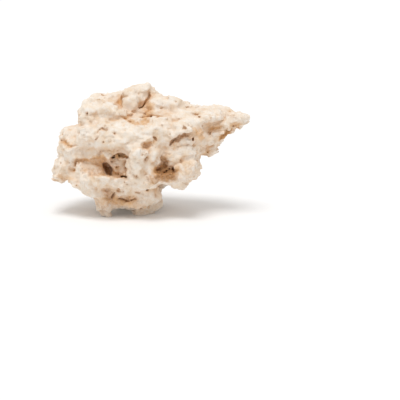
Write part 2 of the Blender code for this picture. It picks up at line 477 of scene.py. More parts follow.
CREST_MARKS = (
    Mark("cleft's mouth", CUT, depth=3.5, rust=0.6, umber=0.5,
         path=((149, 92.5, 1.4), (149.5, 96, 2.1), (148, 99, 1.6))),
    Mark("crest cleft", CUT, depth=5, rust=0.9, umber=0.5,
         path=((147, 99.5, 1.1), (144.5, 103.5, 1.1), (141.5, 107, 1.0), (138.5, 109, 0.9))),
    Mark("cleft's wash", STAIN_AND_SHADE, ((150, 96, 3.0), (146, 104, 3.5), (143, 109, 3.5)), rust=0.55),
    Mark("tan notch", CUT, depth=2.6, rust=0.7, umber=0.5,
         path=((121, 98, 1.8), (118.5, 101.5, 3.5), (121, 105.5, 2.4))),
    Mark("notch's corner", CUT, ((121.5, 107, 1.0),), depth=2.5, rust=0.6, umber=0.3),
    Mark("dent behind the bump", CUT, depth=1.5, rust=0.35,
         path=((100, 98, 1.2), (103, 97, 1.6), (105, 98.5, 1.2))),
    Mark("crest's small dent", CUT, ((98, 100.5, 0.9), (101, 101, 1.0)), depth=1.2, rust=0.3),
    Mark("recess's back", GROWTH, depth=4, front=-18,
         path=((127, 112, 5), (132, 112, 5), (138, 112, 5), (144, 113, 5), (150, 113, 4))),
    Mark("recess's floor", GROWTH, depth=5, front=-27,
         path=((124, 117, 5), (130, 117, 5), (136, 117, 5), (141, 117, 4.5))),
    Mark("crest's foot", GROWTH, depth=5, front=-28,
         path=((86, 114.5, 5), (93, 114.5, 5), (100, 114.5, 5), (107, 114.5, 5), (115, 114.5, 5),
               (123, 115, 5))),
    Mark("crest's toe", GROWTH, depth=5, front=-32,
         path=((84, 118.5, 5), (92, 118.5, 5), (100, 118.5, 5), (108, 118.5, 5), (116, 119, 5),
               (125, 119, 5))),
    Mark("step right of the crest", GROWTH, depth=5, front=-25,
         path=((150, 114, 5), (158, 114, 5), (166, 115, 5))),
    # Painted warm shade where the recess and the ledge under the crest's slab lie in shadow.
    Mark("recess's painted peach shade", STAIN_AND_SHADE, rust=0.75,
         path=((146, 103, 4.0), (149.5, 108, 5.0), (148.5, 114, 4.5), (143, 121, 3.0))),
    Mark("ledge's painted peach shade", STAIN_AND_SHADE, rust=0.68,
         path=((131, 121, 2.5), (137, 123, 2.5), (144, 123, 2.5), (148, 121, 2.5))),
    Mark("recess's corner", CUT, ((151, 116.5, 0.8), (152.5, 117.5, 0.8)), depth=0.6, rust=0.7),
    Mark("tail's wash", STAIN_AND_SHADE, ((160, 112, 2.5), (165, 112.5, 3.0), (170, 117, 3.0)), rust=0.55),
    Mark("ledge line", CUT, depth=1.2, rust=0.3,
         path=((91.5, 114, 0.7), (100, 114, 0.9), (108, 113.7, 0.9), (113, 115, 0.8))),
    Mark("ledge's olive dent", CUT, depth=1.2, rust=0.6, umber=0.1,
         path=((120, 116, 1.0), (125, 118.5, 1.5), (128, 120.5, 1.2))),
    Mark("ledge groove", CUT, depth=2.5, rust=0.7,
         path=((129, 121.5, 1.1), (136, 123.3, 1.3), (142, 123.5, 1.3), (148, 121.5, 1.0))),
    Mark("crest's right step", CUT, depth=0.6, rust=0.35,
         path=((154, 105, 0.8), (158, 107, 0.8), (163, 104, 0.8))),
)

FACE_MARKS = (
    Mark("red cleft", CUT, depth=3, rust=0.6, umber=0.6,
         path=((153.5, 136.5, 1.0), (155.5, 138.5, 1.5), (156, 140.5, 1.0))),
    Mark("red cleft's foot", CUT, depth=2, rust=1.0, umber=0.2,
         path=((154.5, 141.5, 0.9), (153.5, 143.5, 0.9))),
    Mark("olive cleft", CUT, ((150.5, 142, 0.9), (148.5, 143.5, 1.0)), depth=1.3, rust=0.6, umber=0.25),
    Mark("patch's left pore", CUT, ((141.5, 145, 0.7),), depth=1.2, rust=0.6, umber=0.5),
    Mark("patch's upper pore", CUT, ((144.5, 143.2, 0.8),), depth=1.2, rust=0.6, umber=0.5),
    Mark("low red cleft", CUT, ((149.5, 146, 0.8), (148, 147.5, 0.8)), depth=1.2, rust=0.6, umber=0.25),
    Mark("orange patch", STAIN_AND_SHADE, ((142, 147, 2.5), (147, 145.5, 4.0), (152, 142, 3.0)), rust=0.66),
    Mark("patch's pore", CUT, ((143.5, 148.5, 0.8), (146, 151, 0.8)), depth=1.2, rust=0.6, umber=0.2),
    Mark("grey dent", CUT, ((142, 138.5, 1.0), (143, 140, 0.8)), depth=1.5, rust=0.2),
    Mark("arched groove", CUT, depth=2.0, rust=0.45,
         path=((170.5, 145, 0.9), (172.5, 141.5, 1.3), (175.5, 138.5, 1.3), (179, 136, 1.2),
               (184, 134.7, 1.3), (188, 136, 0.8))),
    Mark("groove's wash", STAIN_AND_SHADE, rust=0.5,
         path=((171, 145, 3.0), (175, 141, 3.0), (180, 137.5, 3.0), (187, 136, 2.5))),
    Mark("groove's lower wash", STAIN_AND_SHADE, ((172, 147, 4.0), (178, 145.5, 4.0)), rust=0.52, umber=0.2),
    Mark("groove's brow", GROWTH, depth=3, front=-47,
         path=((172, 136.5, 3.0), (175, 133.5, 3.0), (179, 131, 3.2), (184, 129.8, 3.2),
               (189, 131, 3.0))),
    Mark("lobe under the groove", GROWTH, depth=5, front=-43,
         path=((175, 145, 4.5), (180, 143.5, 5.0), (185, 142, 5.0), (190, 142, 4.5))),
    Mark("slope under the lobe", GROWTH, depth=6, front=-43.5,
         path=((170, 148, 6), (176, 147, 6), (182, 146.5, 6), (188, 147, 6))),
    Mark("slope's middle", GROWTH, depth=6, front=-44,
         path=((169, 152, 5.5), (175, 151.5, 6), (181, 151, 6), (187, 151.5, 6))),
    Mark("slope's foot", GROWTH, depth=6, front=-44.5,
         path=((176, 156.5, 6), (182, 156, 6), (188, 156, 6), (192, 156, 5))),
    Mark("slope's wash", STAIN_AND_SHADE, ((183, 153, 5.0), (188, 154, 4.0)), rust=0.3),
    Mark("groove's spot", CUT, ((193, 138.5, 1.0), (193, 140.5, 0.9)), depth=3, rust=0.3, umber=0.8),
    Mark("slope left of the pit", GROWTH, depth=6, front=-52,
         path=((154, 152, 6), (150, 156, 6), (148, 161, 6), (147, 166, 6), (146, 171, 6))),
    Mark("pit's brow, left", GROWTH, depth=4.5, front=-46,
         path=((156, 157, 5.0), (157, 161, 4.5), (155.5, 164.5, 3.5))),
    Mark("pit's brow, right", GROWTH, depth=5, front=-45,
         path=((170, 157, 5.0), (173, 160, 5.0), (178, 163, 4.0), (171, 161.5, 3.5))),
    Mark("pit spike", CUT, depth=2.5, rust=0.8, umber=0.1,
         path=((164, 160, 0.7), (164.3, 163, 1.1), (165, 166, 1.8))),
    Mark("second pit", CUT, depth=4, rust=0.9, umber=0.1,
         path=((157, 171.5, 2.4), (162, 172, 3.4), (168, 172, 3.8), (173.5, 171, 3.6))),
    Mark("pit's lap", CUT, depth=0.6, rust=0.4, umber=0.1,
         path=((159, 177, 2.4), (165, 178, 3.2), (172, 177, 2.6))),
    Mark("pit's left eye", CUT, ((156.5, 170, 1.2), (158.5, 169.5, 1.2)), depth=7, rust=0.6, umber=0.8),
    Mark("pit's heart", CUT, ((163.5, 172.5, 1.3), (166.5, 171, 1.4)), depth=8, rust=0.6, umber=0.9),
    Mark("pit's upper pore", CUT, ((160.2, 168.2, 0.9),), depth=6, rust=0.6, umber=0.7),
    Mark("pit's lower pore", CUT, ((162, 174.6, 0.9),), depth=6, rust=0.6, umber=0.7),
    Mark("pit's right pore", CUT, ((169.4, 168.8, 0.9),), depth=6, rust=0.6, umber=0.7),
    Mark("pit's foot pore", CUT, ((169.8, 174.3, 0.9),), depth=6, rust=0.6, umber=0.7),
    Mark("pit's right eye", CUT, ((172.8, 168, 1.2), (173.4, 171, 1.7)), depth=8, rust=0.6, umber=0.9),
    Mark("second pit's wash", STAIN_AND_SHADE, rust=1.0, umber=0.5,
         path=((157, 171, 4.0), (164, 166, 3.0), (164, 171.5, 5.5), (171, 171.5, 5.5))),
    Mark("olive rim", STAIN_AND_SHADE, ((177.5, 169, 3.0),), rust=0.85, umber=0.4),
    # Painted shade on the down-facing lap below the second pit.
    Mark("lap's painted shade", STAIN_AND_SHADE, rust=0.74, umber=0.6,
         path=((160, 177, 3.5), (166, 178.5, 5.0), (173, 176.5, 4.0))),
    Mark("lap's left painted shade", STAIN_AND_SHADE, ((150, 178, 3.5), (155, 181, 4.0)), rust=0.6, umber=0.5),
    # Painted shade: the lobe turns downward, away from the light, and is darkened here.
    Mark("lobe's painted shade", STAIN_AND_SHADE, rust=0.34, umber=0.33,
         path=((184, 168, 8.0), (190, 174, 9.0), (180, 180, 7.0))),
    Mark("dent left of the pit", CUT, ((142.5, 168, 0.8), (141.5, 172, 0.8)), depth=0.8, rust=0.3),
    Mark("speck on the rib", CUT, ((136.7, 176, 0.9),), depth=2.0, rust=0.1, umber=0.4),
    Mark("left pore", CUT, ((67.7, 162.8, 0.8),), depth=3, rust=0.1, umber=0.8),
    Mark("left pore's twin", CUT, ((69.6, 162.8, 0.7),), depth=3, rust=0.1, umber=0.7),
    Mark("pore by the shoulder", CUT, ((87.5, 142.6, 1.0), (90, 144, 0.8)), depth=3, rust=0.2, umber=0.7),
    Mark("middle pore", CUT, ((103.4, 142, 0.9),), depth=2.5, rust=0.2, umber=0.6),
    Mark("upper pore", CUT, ((102, 128.5, 1.0), (104, 129, 0.9)), depth=2.5, rust=0.3, umber=0.5),
    Mark("pore's brow", CUT, ((97.5, 133, 0.8), (99.5, 130, 1.0), (107, 130, 1.0)), depth=1.8, rust=0.3),
    Mark("pore below the ledge", CUT, ((113.9, 133.3, 1.1),), depth=2.5, rust=0.4, umber=0.4),
    Mark("slanted pore", CUT, ((98.5, 136.5, 0.9), (96, 139.3, 0.9)), depth=2.0, rust=0.4, umber=0.2),
    Mark("tan patch", STAIN_AND_SHADE, ((110, 139, 1.8), (110.5, 143, 1.8)), rust=0.35),
    Mark("nick", CUT, depth=3.5, rust=0.9, umber=0.3,
         path=((61, 140.5, 1.6), (64, 141.5, 2.3), (67, 144, 1.6))),
    Mark("nick's wash", STAIN_AND_SHADE, ((62, 140, 3.0), (65, 142, 3.5), (70, 146, 3.0)), rust=0.6, umber=0.05),
    Mark("nick's line", CUT, depth=2.0, rust=0.6,
         path=((66.5, 144.5, 1.1), (70.5, 147, 1.2), (76, 145.6, 0.9))),
    Mark("mark above the trough", CUT, depth=1.5, rust=0.3, umber=0.1,
         path=((92.5, 149.5, 0.8), (93, 152.5, 0.8))),
    Mark("hook's legs", CUT, depth=3, rust=0.8, umber=0.5,
         path=((75.7, 165.5, 1.0), (75.5, 162, 1.4), (77.5, 160, 1.4), (79, 162, 1.1))),
    Mark("hook's band", CUT, depth=2.5, rust=1.0, umber=0.45,
         path=((79.5, 160.3, 1.6), (83, 160.6, 2.0), (88, 160.5, 1.6))),
    Mark("trough's specks", CUT, ((73, 173.5, 0.8),), depth=1.5, rust=0.3, umber=0.2),
    Mark("trough's floor", STAIN_AND_SHADE, ((84, 169, 4.0), (92, 170, 5.0), (99, 173, 4.0)), rust=0.5, umber=0.4),
    Mark("trough's dent", CUT, ((81, 174, 1.4), (84, 172.5, 1.2)), depth=0.8, rust=0.25),
    Mark("trough's hollow", CUT, depth=1.8, rust=0.36,
         path=((84, 162.5, 2.5), (90, 162.5, 3.6), (96, 163, 4.8), (101, 165, 4.8))),
    Mark("trough's shade", STAIN_AND_SHADE, rust=0.72, umber=0.36,
         path=((93, 160, 3.0), (99, 158.5, 4.5), (104, 158, 3.0), (101, 166, 5.0), (103, 173, 3.5))),
    Mark("wedge's underside", STAIN_AND_SHADE, ((58, 176, 3.0), (64, 178.5, 3.5), (71, 178, 3.0)), rust=0.6),
    Mark("wedge's wash", STAIN_AND_SHADE, rust=0.3,
         path=((60, 166, 4.0), (66, 166, 4.0), (76, 165, 5.0), (86, 163, 5.0), (94, 163, 5.0))),
    Mark("face's wash", STAIN_AND_SHADE, ((82, 138, 5.0), (90, 142, 5.0), (100, 136, 4.0)), rust=0.32),
    Mark("left flank's spot", CUT, ((87, 113, 0.9),), depth=0.8, rust=0.2),
)

GREAT_PIT_MARKS = (
    Mark("lip's shoulder", GROWTH, depth=4, front=-44,
         path=((104, 153, 4), (109, 152, 4), (114, 150, 4), (119, 148, 4), (125, 148.5, 4))),
    Mark("pit's lip", GROWTH, depth=3, front=-44,
         path=((108, 156, 3), (112, 154, 3), (116, 152, 3), (120, 151, 3), (124, 151.5, 3),
               (128, 153.5, 3))),
    Mark("lip's left end", GROWTH, ((103, 156, 3), (107, 157, 3)), depth=3, front=-39),
    Mark("pit's sill", GROWTH, depth=3, front=-39,
         path=((117, 171, 3.2), (121, 172.6, 3.3), (124.5, 171.8, 3.0))),
    Mark("plug's tip", GROWTH, depth=2.4, front=-38,
         path=((108, 161, 1.6), (110.5, 163, 2.2), (113.5, 166, 2.8), (114.5, 170, 2.8),
               (117, 172, 2.6))),
    Mark("arch's back", GROWTH, depth=2.4, front=-36.5,
         path=((116.5, 154.5, 2.4), (120, 153.5, 2.6), (124, 154, 2.4))),
    Mark("arch's brown", STAIN_AND_SHADE, rust=1.0, umber=0.42, front=-37,
         path=((115.5, 156.5, 1.6), (118, 155.5, 2.4), (122, 155.5, 2.4), (126, 156.5, 1.6))),
    Mark("top dark", CUT, depth=4.5, rust=0.9, umber=0.15, front=-42,
         path=((111.8, 157.8, 1.0), (114, 156.5, 1.3), (117, 155.8, 1.7), (121, 155.3, 2.0),
               (125, 155.8, 1.7), (128.3, 157.3, 1.0))),
    Mark("top dark's left end", CUT, depth=13, rust=0.5, umber=0.9, front=-41,
         path=((111.9, 157.6, 1.0), (113.8, 157.0, 1.2))),
    Mark("top dark's right end", CUT, depth=6, rust=0.5, umber=0.9, front=-41,
         path=((126.8, 156.8, 1.1), (128.8, 157.3, 0.9))),
    Mark("left dark's back", GROWTH, ((104.5, 167, 3), (106, 171, 3), (108, 175, 3)), depth=3, front=-27),
    Mark("left dark", CUT, rust=0.8, umber=0.55,
         path=((104.5, 162, 0.9), (104, 165, 1.2), (106.5, 169, 1.8), (109, 172.5, 2.2),
               (111.5, 175, 1.5))),
    Mark("left dark's shade", STAIN_AND_SHADE, rust=0.8, umber=0.6,
         path=((104.5, 165, 2.5), (107, 170, 3.0), (109.5, 173.5, 2.5))),
    Mark("low dark", CUT, depth=14, rust=0.5, umber=0.8, front=-48,
         path=((120.5, 176.6, 1.2), (123.2, 176.3, 1.2), (125.8, 176.4, 1.3))),
    Mark("plug's edge", CUT, depth=1.2, rust=0.5, umber=0.3,
         path=((126, 161, 0.7), (126, 168, 0.7), (126, 174, 0.7))),
    Mark("rib's edge", GROWTH, depth=2.6, front=-47,
         path=((129.6, 158, 2.6), (129.3, 164, 2.6), (129, 170, 2.6), (129, 176, 2.6))),
    Mark("plug's wash", STAIN_AND_SHADE, rust=0.42,
         path=((113, 161, 4.0), (120, 161, 5.0), (120, 168, 6.0), (122, 174, 4.0))),
)

BELLY_MARKS = (
    Mark("belly's cheek", GROWTH, ((149, 188, 5), (150, 192, 5), (150.5, 196, 5)), depth=5, front=-36),
    Mark("cheek's turn", GROWTH, depth=4.5, front=-30,
         path=((154.5, 189.5, 4.5), (155.5, 193.5, 4.5), (155.5, 198, 4.5))),
    Mark("belly cleft", CUT, depth=3, rust=0.5, umber=0.6,
         path=((114.2, 193.7, 1.1), (112.6, 195.3, 1.2), (111.7, 197.5, 0.8))),
    Mark("belly line", CUT, depth=2.5, rust=0.8, umber=0.2,
         path=((118.5, 198.4, 0.8), (123, 199, 0.9), (127.2, 200.7, 1.0), (129, 201.5, 0.7))),
    Mark("belly line's tail", CUT, depth=2.0, rust=0.4,
         path=((131, 200, 0.8), (137, 198.7, 0.9), (143, 197.5, 0.7))),
    Mark("belly's thin line", CUT, depth=1.5, rust=0.2,
         path=((135.5, 192.3, 0.6), (141, 192.6, 0.7), (142.7, 194, 0.6))),
    # Painted shade: the belly faces downward, away from the light, and is darkened here.
    Mark("belly's painted shade", STAIN_AND_SHADE, rust=0.68, umber=0.42,
         path=((107, 197, 3.5), (112, 200, 6.0), (122, 203, 5.0), (134, 200, 4.5))),
    # Painted shade: the low foot faces down towards the floor and is darkened here.
    Mark("foot's painted shade", STAIN_AND_SHADE, ((96, 200, 6.0), (104, 206, 6.0), (140, 208, 6.0)), rust=0.5),
    Mark("flecks under the pit", CUT, ((124.5, 182.5, 0.7),), depth=1.5, rust=0.1, umber=0.2),
    Mark("second fleck", CUT, ((127.5, 184.5, 0.7),), depth=1.5, rust=0.1, umber=0.2),
    Mark("brown spot", CUT, ((123.2, 191, 1.0),), depth=2.0, rust=0.5, umber=0.3),
    Mark("rib pore", CUT, ((147.9, 185.8, 1.0),), depth=2.5, rust=0.3, umber=0.4),
    Mark("rib pore below", CUT, ((147.3, 189.6, 1.0),), depth=2.5, rust=0.3, umber=0.4),
)

TONGUE_MARKS = (
    Mark("yellow patch", STAIN_AND_SHADE, ((182, 115, 3.5), (186, 116, 3.0)), rust=0.12),
    Mark("tongue's dent", CUT, ((193.5, 114, 1.2), (198, 114.5, 1.2)), depth=1.5, rust=0.4),
    Mark("dent's speck", CUT, ((199.7, 117, 0.9),), depth=2.0, rust=0.3, umber=0.4),
    Mark("plate's speck", CUT, ((221.2, 109.4, 0.8),), depth=1.2, rust=0.2, umber=0.2),
    # Painted grey shade on the tongue's top where it drops to the tip.
    Mark("tongue's painted grey shade", STAIN_AND_SHADE, rust=0.1, umber=0.44,
         path=((222, 115.5, 3.5), (228, 115, 4.0), (234, 116.5, 3.5))),
    Mark("plate's edge", CUT, depth=1.5, rust=0.35,
         path=((204, 123.5, 0.8), (208, 124.5, 1.2), (215, 123.5, 1.5), (223, 121, 1.2))),
    Mark("plate's shade", STAIN_AND_SHADE, ((208, 124, 2.5), (214, 123.5, 3.0), (222, 122, 3.0)), rust=0.3),
    Mark("recess's wash", STAIN_AND_SHADE, ((209, 128.5, 3.0), (214, 128.5, 3.5), (220, 127.5, 2.6)), rust=0.7),
    Mark("tongue's recess", CUT, depth=2.0, rust=0.95,
         path=((209, 128.8, 1.8), (213, 128.3, 2.0), (217.5, 128, 1.3))),
    Mark("recess's dark", CUT, ((216, 128.6, 0.8), (219.5, 127.6, 0.8)), depth=3.0, rust=0.6, umber=0.4),
    Mark("plate's end", CUT, ((224.5, 116.5, 1.0), (224.5, 120, 1.0)), depth=1.5, rust=0.3),
    Mark("peach lumps", STAIN_AND_SHADE, ((196, 133, 5.0), (200, 132, 4.0), (202, 137, 4.0)), rust=0.72),
    Mark("orange notch", CUT, depth=3.5, rust=1.0, umber=0.2,
         path=((221.5, 138, 1.5), (223.5, 135, 2.4), (227, 132.5, 1.6))),
    Mark("notch's wash", STAIN_AND_SHADE, rust=1.0, umber=0.64,
         path=((221.5, 138.5, 2.6), (224, 135.5, 3.6), (228, 132.5, 2.6))),
    Mark("notch's edge", CUT, ((228, 131.5, 0.9), (231.5, 128.7, 0.9)), depth=1.5, rust=0.6, umber=0.3),
    Mark("tip's underside", STAIN_AND_SHADE, rust=0.7, umber=0.3,
         path=((231, 126.5, 2.4), (235, 125, 3.0), (239, 124.5, 2.4))),
    Mark("tip's pits", CUT, ((233, 126.5, 1.0), (235.5, 125, 1.3)), depth=1.8, rust=0.5, umber=0.3),
    Mark("tip's lump", GROWTH, ((229.5, 130.5, 2.6), (233, 129.5, 2.4)), depth=1.4),
    Mark("tip's end lump", GROWTH, ((238, 127.5, 2.6), (241, 126, 2.6)), depth=1.6),
    Mark("tip's end stain", STAIN_AND_SHADE, ((241, 125, 2.0), (245, 123.5, 2.0)), rust=0.3),
    Mark("right face's wash", STAIN_AND_SHADE, ((192, 136, 3.0), (195, 142, 4.0), (203, 148, 4.5)), rust=0.45),
    Mark("right face's dent", CUT, depth=0.8, rust=0.2,
         path=((202, 146, 1.4), (205.5, 149, 1.6), (208, 151.5, 1.0))),
    Mark("right face's fill", GROWTH, ((205, 138, 5), (210, 138, 5), (213, 136, 4)), depth=5, front=-25),
    Mark("right face's speck", CUT, ((207.1, 152.4, 0.8),), depth=2.0, rust=0.3, umber=0.5),
)

FRONT_MARKS = CREST_MARKS + FACE_MARKS + GREAT_PIT_MARKS + BELLY_MARKS + TONGUE_MARKS


@dataclass(frozen=True)
class Scatter:
    """Small hollows strewn over the whole rock in clusters.

    Attributes:
        name: What they are.
        clusters: How many clusters.
        each: Least and most hollows in a cluster.
        spread: How far a cluster reaches, in millimetres.
        reach: Least and most radius, in millimetres.
        depth: Least and most depth, in millimetres.
        length: Least and most length along the bedding, in millimetres.
        rust: Most orange stain.
        umber: Most dark stain.
    """

    name: str
    clusters: int
    each: tuple[int, int]
    spread: float
    reach: Pair
    depth: Pair
    length: Pair
    rust: float
    umber: float


PORES = Scatter(
    name="pores",
    clusters=30,
    each=(3, 7),
    spread=7.0,
    reach=(0.6, 1.0),
    depth=(0.8, 1.6),
    length=(0.0, 1.5),
    rust=0.4,
    umber=0.1,
)

PITS = Scatter(
    name="pits",
    clusters=34,
    each=(1, 3),
    spread=9.0,
    reach=(1.6, 3.2),
    depth=(0.8, 2.2),
    length=(0.0, 5.0),
    rust=0.5,
    umber=0.0,
)

CLEFTS = Scatter(
    name="clefts",
    clusters=20,
    each=(1, 2),
    spread=8.0,
    reach=(0.8, 1.4),
    depth=(1.2, 2.8),
    length=(4.0, 9.0),
    rust=0.6,
    umber=0.1,
)


class DotCloud:
    """Points in space with a reach and two colour strengths each, for stains and painted shade, gathered into
    a loose mesh.
    """

    STEP = 0.6 * MM
    TAPER = 0.6

    def __init__(self, name: str) -> None:
        """Starts an empty cloud, whose mesh and object get the name."""
        self.name = name
        self.dots: list[tuple[Vector, float, float, float]] = []

    def run(
        self,
        path: list[tuple[Vector, float]],
        inward: Vector,
        depth: float,
        rust: float,
        umber: float,
        above: float = 0.0,
    ) -> None:
        """Adds points along a path and down into the stone.

        Args:
            path: Places on the surface and the radius at each, in metres.
            inward: Unit vector into the stone.
            depth: How far in the points go, in metres.
            rust: Orange colour, 0 to 1: a stain, and painted warm shade on the shade marks.
            umber: Dark colour, 0 to 1: a stain, and painted shade on the shade marks.
            above: How far outside the surface the points start, in metres.
        """
        line = [path[0]]
        for (start, thin), (end, thick) in zip(path, path[1:]):
            count = max(1, round((end - start).length / self.STEP))
            shares = [(i + 1) / count for i in range(count)]
            line += [(start.lerp(end, share), thin + (thick - thin) * share) for share in shares]
        levels = round((depth + above) / self.STEP)
        for level in range(levels + 1):
            sink = (depth + above) * level / max(levels, 1) - above
            narrow = 1.0 - self.TAPER * max(sink, 0.0) / max(depth, self.STEP)
            for spot, reach in line:
                self.dots.append((spot + inward * sink, reach * narrow, rust, umber))

    def build(self) -> bpy.types.Object:
        """Makes the loose mesh.

        Returns:
            An object whose points hold the attributes reach, rust and umber.
        """
        mesh = bpy.data.meshes.new(self.name)
        mesh.vertices.add(len(self.dots))
        mesh.vertices.foreach_set("co", [x for dot in self.dots for x in dot[0]])
        for index, title in enumerate(("reach", "rust", "umber"), start=1):
            layer = mesh.attributes.new(title, "FLOAT", "POINT")
            layer.data.foreach_set("value", [dot[index] for dot in self.dots])
        return linked(self.name, mesh)


class NearestDot:
    """The point of a cloud that is nearest to a place, inside a geometry node tree."""

    def __init__(self, graph: NodeGraph, cloud: bpy.types.Object, place: Socket) -> None:
        """Looks the point up.

        Args:
            graph: Graph to add to.
            cloud: The cloud.
            place: Where to look from, in metres.
        """
        self.graph = graph
        self.place = place
        self.dots = graph.fill(graph.add("GeometryNodeObjectInfo"), Object=cloud).outputs["Geometry"]
        nearest = graph.add("GeometryNodeSampleNearest", domain="POINT")
        graph.fill(nearest, Geometry=self.dots, Sample_Position=place)
        self.index = nearest.outputs[0]

    def read(self, title: str, kind: str = "FLOAT") -> Socket:
        """Reads one of its attributes.

        Args:
            title: Name of the attribute.
            kind: Type of the attribute.

        Returns:
            The value's socket.
        """
        name = self.graph.add("GeometryNodeInputNamedAttribute", data_type=kind)
        self.graph.fill(name, Name=title)
        sample = self.graph.add("GeometryNodeSampleIndex", data_type=kind, domain="POINT")
        self.graph.fill(sample, Geometry=self.dots, Value=name.outputs[0], Index=self.index)
        return sample.outputs[0]

    @property
    def distance(self) -> Socket:
        """Distance from the place, in metres."""
        return self.graph.vectors("DISTANCE", self.place, self.read("position", "FLOAT_VECTOR"))


@dataclass(frozen=True)
class StoneFinish:
    """Procedural finish of dry reef limestone, with painted shade in its sheltered, hollow and down-facing
    places.

    Attributes:
        chalk: Palest stone.
        cream: Common stone.
        sand: Darker, warmer patches.
        rust: Orange stain of hollows, also the colour of the painted warm shade of sheltered and hollow
            stone.
        umber: Deepest brown of clefts, also the colour of the painted shade of the deepest holes.
        roughness: Roughness of the dry surface.
        gloss: Specular level.
        patches: Waves of the sand patches.
        patch_ramp: How much sand they show.
        mottle: Waves of the chalk mottling.
        mottle_ramp: How much chalk it shows.
        nook_weight: Weight of near cover in the painted warm shade of sheltered stone.
        shelter_weight: Weight of any cover in it.
        painted_shade_ramp: Painted warm shade with cover, which also stands for some staining of the hollows.
        shade_waves: Waves by which the painted shade comes and goes.
        shade_waves_ramp: How much those waves add to the painted shade.
        shade_least: Share of the painted shade that is there without them.
        crevice_shade_ramp: Painted warm shade with how hollow a point is.
        rust_fray: Waves that fray the edges of the marks' rust.
        rust_ramp: Orange with the marks' frayed stains and painted shade.
        deep_shade_ramp: Painted dark shade with cover, in the deepest holes.
        umber_fray: Waves that fray the edges of the marks' umber.
        umber_ramp: Umber with the marks' frayed stains and painted shade.
        specks: Waves of small rusty specks.
        speck_ramp: How much rust they show.
        fine: Waves of the finest grain, which is bump only.
        bump: Height of that bump, in metres.
        bump_share: How much of it shows.
    """

    chalk: Colour = linear(245, 240, 233)
    cream: Colour = linear(240, 224, 205)
    sand: Colour = linear(226, 199, 168)
    rust: Colour = linear(214, 164, 108)
    umber: Colour = linear(150, 98, 54)
    roughness: float = 0.95
    gloss: float = 0.2
    patches: Waves = Waves(26.0, 3.0, 0.55, (3.0, 8.0, 1.0))
    patch_ramp: Ramp = Ramp(-0.12, 0.14, 0.62, smooth=True)
    mottle: Waves = Waves(7.0, 4.0, 0.65, (11.0, 2.0, 5.0))
    mottle_ramp: Ramp = Ramp(-0.13, 0.15, 0.75)
    nook_weight: float = 0.6
    shelter_weight: float = 0.8
    painted_shade_ramp: Ramp = Ramp(0.06, 0.7, 0.74)
    shade_waves: Waves = Waves(15.0, 3.0, 0.6, (31.0, 7.0, 19.0))
    shade_waves_ramp: Ramp = Ramp(-0.08, 0.16, 0.5, smooth=True)
    shade_least: float = 0.7
    crevice_shade_ramp: Ramp = Ramp(0.2, 0.8, 0.25, smooth=True)
    rust_fray: Waves = Waves(3.4, 4.0, 0.68, (5.0, 50.0, 2.0), 0.85)
    rust_ramp: Ramp = Ramp(0.15, 0.9, 0.9, smooth=True)
    deep_shade_ramp: Ramp = Ramp(0.78, 1.0, 0.7, smooth=True)
    umber_fray: Waves = Waves(2.4, 3.0, 0.65, (9.0, 4.0, 77.0), 0.75)
    umber_ramp: Ramp = Ramp(0.25, 1.0, smooth=True)
    specks: Waves = Waves(1.6, 2.0, 0.6, (2.0, 2.0, 60.0))
    speck_ramp: Ramp = Ramp(0.10, 0.22, 0.15)
    fine: Waves = Waves(1.3, 4.0, 0.7, (8.0, 3.0, 2.0))
    bump: float = 0.5 * MM
    bump_share: float = 1.0

    def build(self) -> bpy.types.Material:
        """Makes the material.

        Returns:
            The material, on Object coordinates and the stone's own attributes.
        """
        material = bpy.data.materials.new("reef_stone")
        material.use_nodes = True
        graph = NodeGraph(material.node_tree)
        shader = material.node_tree.nodes["Principled BSDF"]
        graph.fill(shader, Roughness=self.roughness, Specular_IOR_Level=self.gloss)
        coordinates = graph.add("ShaderNodeTexCoord")
        place = graph.vectors("SCALE", coordinates.outputs["Object"], 1.0 / MM)
        nook, shelter, hollow, rust, umber = (
            graph.add("ShaderNodeAttribute", attribute_name=title).outputs["Fac"]
            for title in ("nook", "shelter", "hollow", "rust", "umber")
        )

        sandy = graph.ramp(graph.noise(place, self.patches), self.patch_ramp)
        base = self.blend(graph, sandy, self.cream, self.sand)
        chalky = graph.ramp(graph.noise(place, self.mottle), self.mottle_ramp)
        base = self.blend(graph, chalky, base, self.chalk)

        # Painted warm shade: tan where the stone covers itself, from near and far cover found by cast rays;
        # it also stands for some staining of the hollows.
        near = graph.maths("MULTIPLY", nook, self.nook_weight)
        far = graph.maths("MULTIPLY", shelter, self.shelter_weight)
        tan = graph.ramp(graph.maths("ADD", near, far), self.painted_shade_ramp)
        shade_waves = graph.ramp(graph.noise(place, self.shade_waves), self.shade_waves_ramp)
        tan = graph.maths("MULTIPLY", tan, graph.maths("ADD", self.shade_least, shade_waves))
        # Painted shade in creases: tan the further a point lies below its neighbours.
        tan = graph.maths("MAXIMUM", tan, graph.ramp(hollow, self.crevice_shade_ramp))
        # Orange of the marks: their stains, and the painted shade of the shade marks.
        ragged = graph.maths("ADD", rust, graph.noise(place, self.rust_fray))
        tan = graph.maths("MAXIMUM", tan, graph.ramp(ragged, self.rust_ramp))
        base = self.blend(graph, tan, base, self.rust)

        # Dark brown of the marks: their stains, and the painted shade of the shade marks.
        ragged = graph.maths("ADD", umber, graph.noise(place, self.umber_fray))
        stain = graph.ramp(ragged, self.umber_ramp)
        # Painted dark shade in the deepest holes, from far cover, together with the marks' umber.
        deep = graph.maths("MAXIMUM", graph.ramp(shelter, self.deep_shade_ramp), stain)
        base = self.blend(graph, deep, base, self.umber)

        specks = graph.ramp(graph.noise(place, self.specks), self.speck_ramp)
        base = self.blend(graph, specks, base, self.rust)

        bump = graph.add("ShaderNodeBump")
        graph.fill(bump, Strength=self.bump_share, Distance=self.bump, Height=graph.noise(place, self.fine))
        graph.fill(shader, Base_Color=base, Normal=bump.outputs["Normal"])
        return material

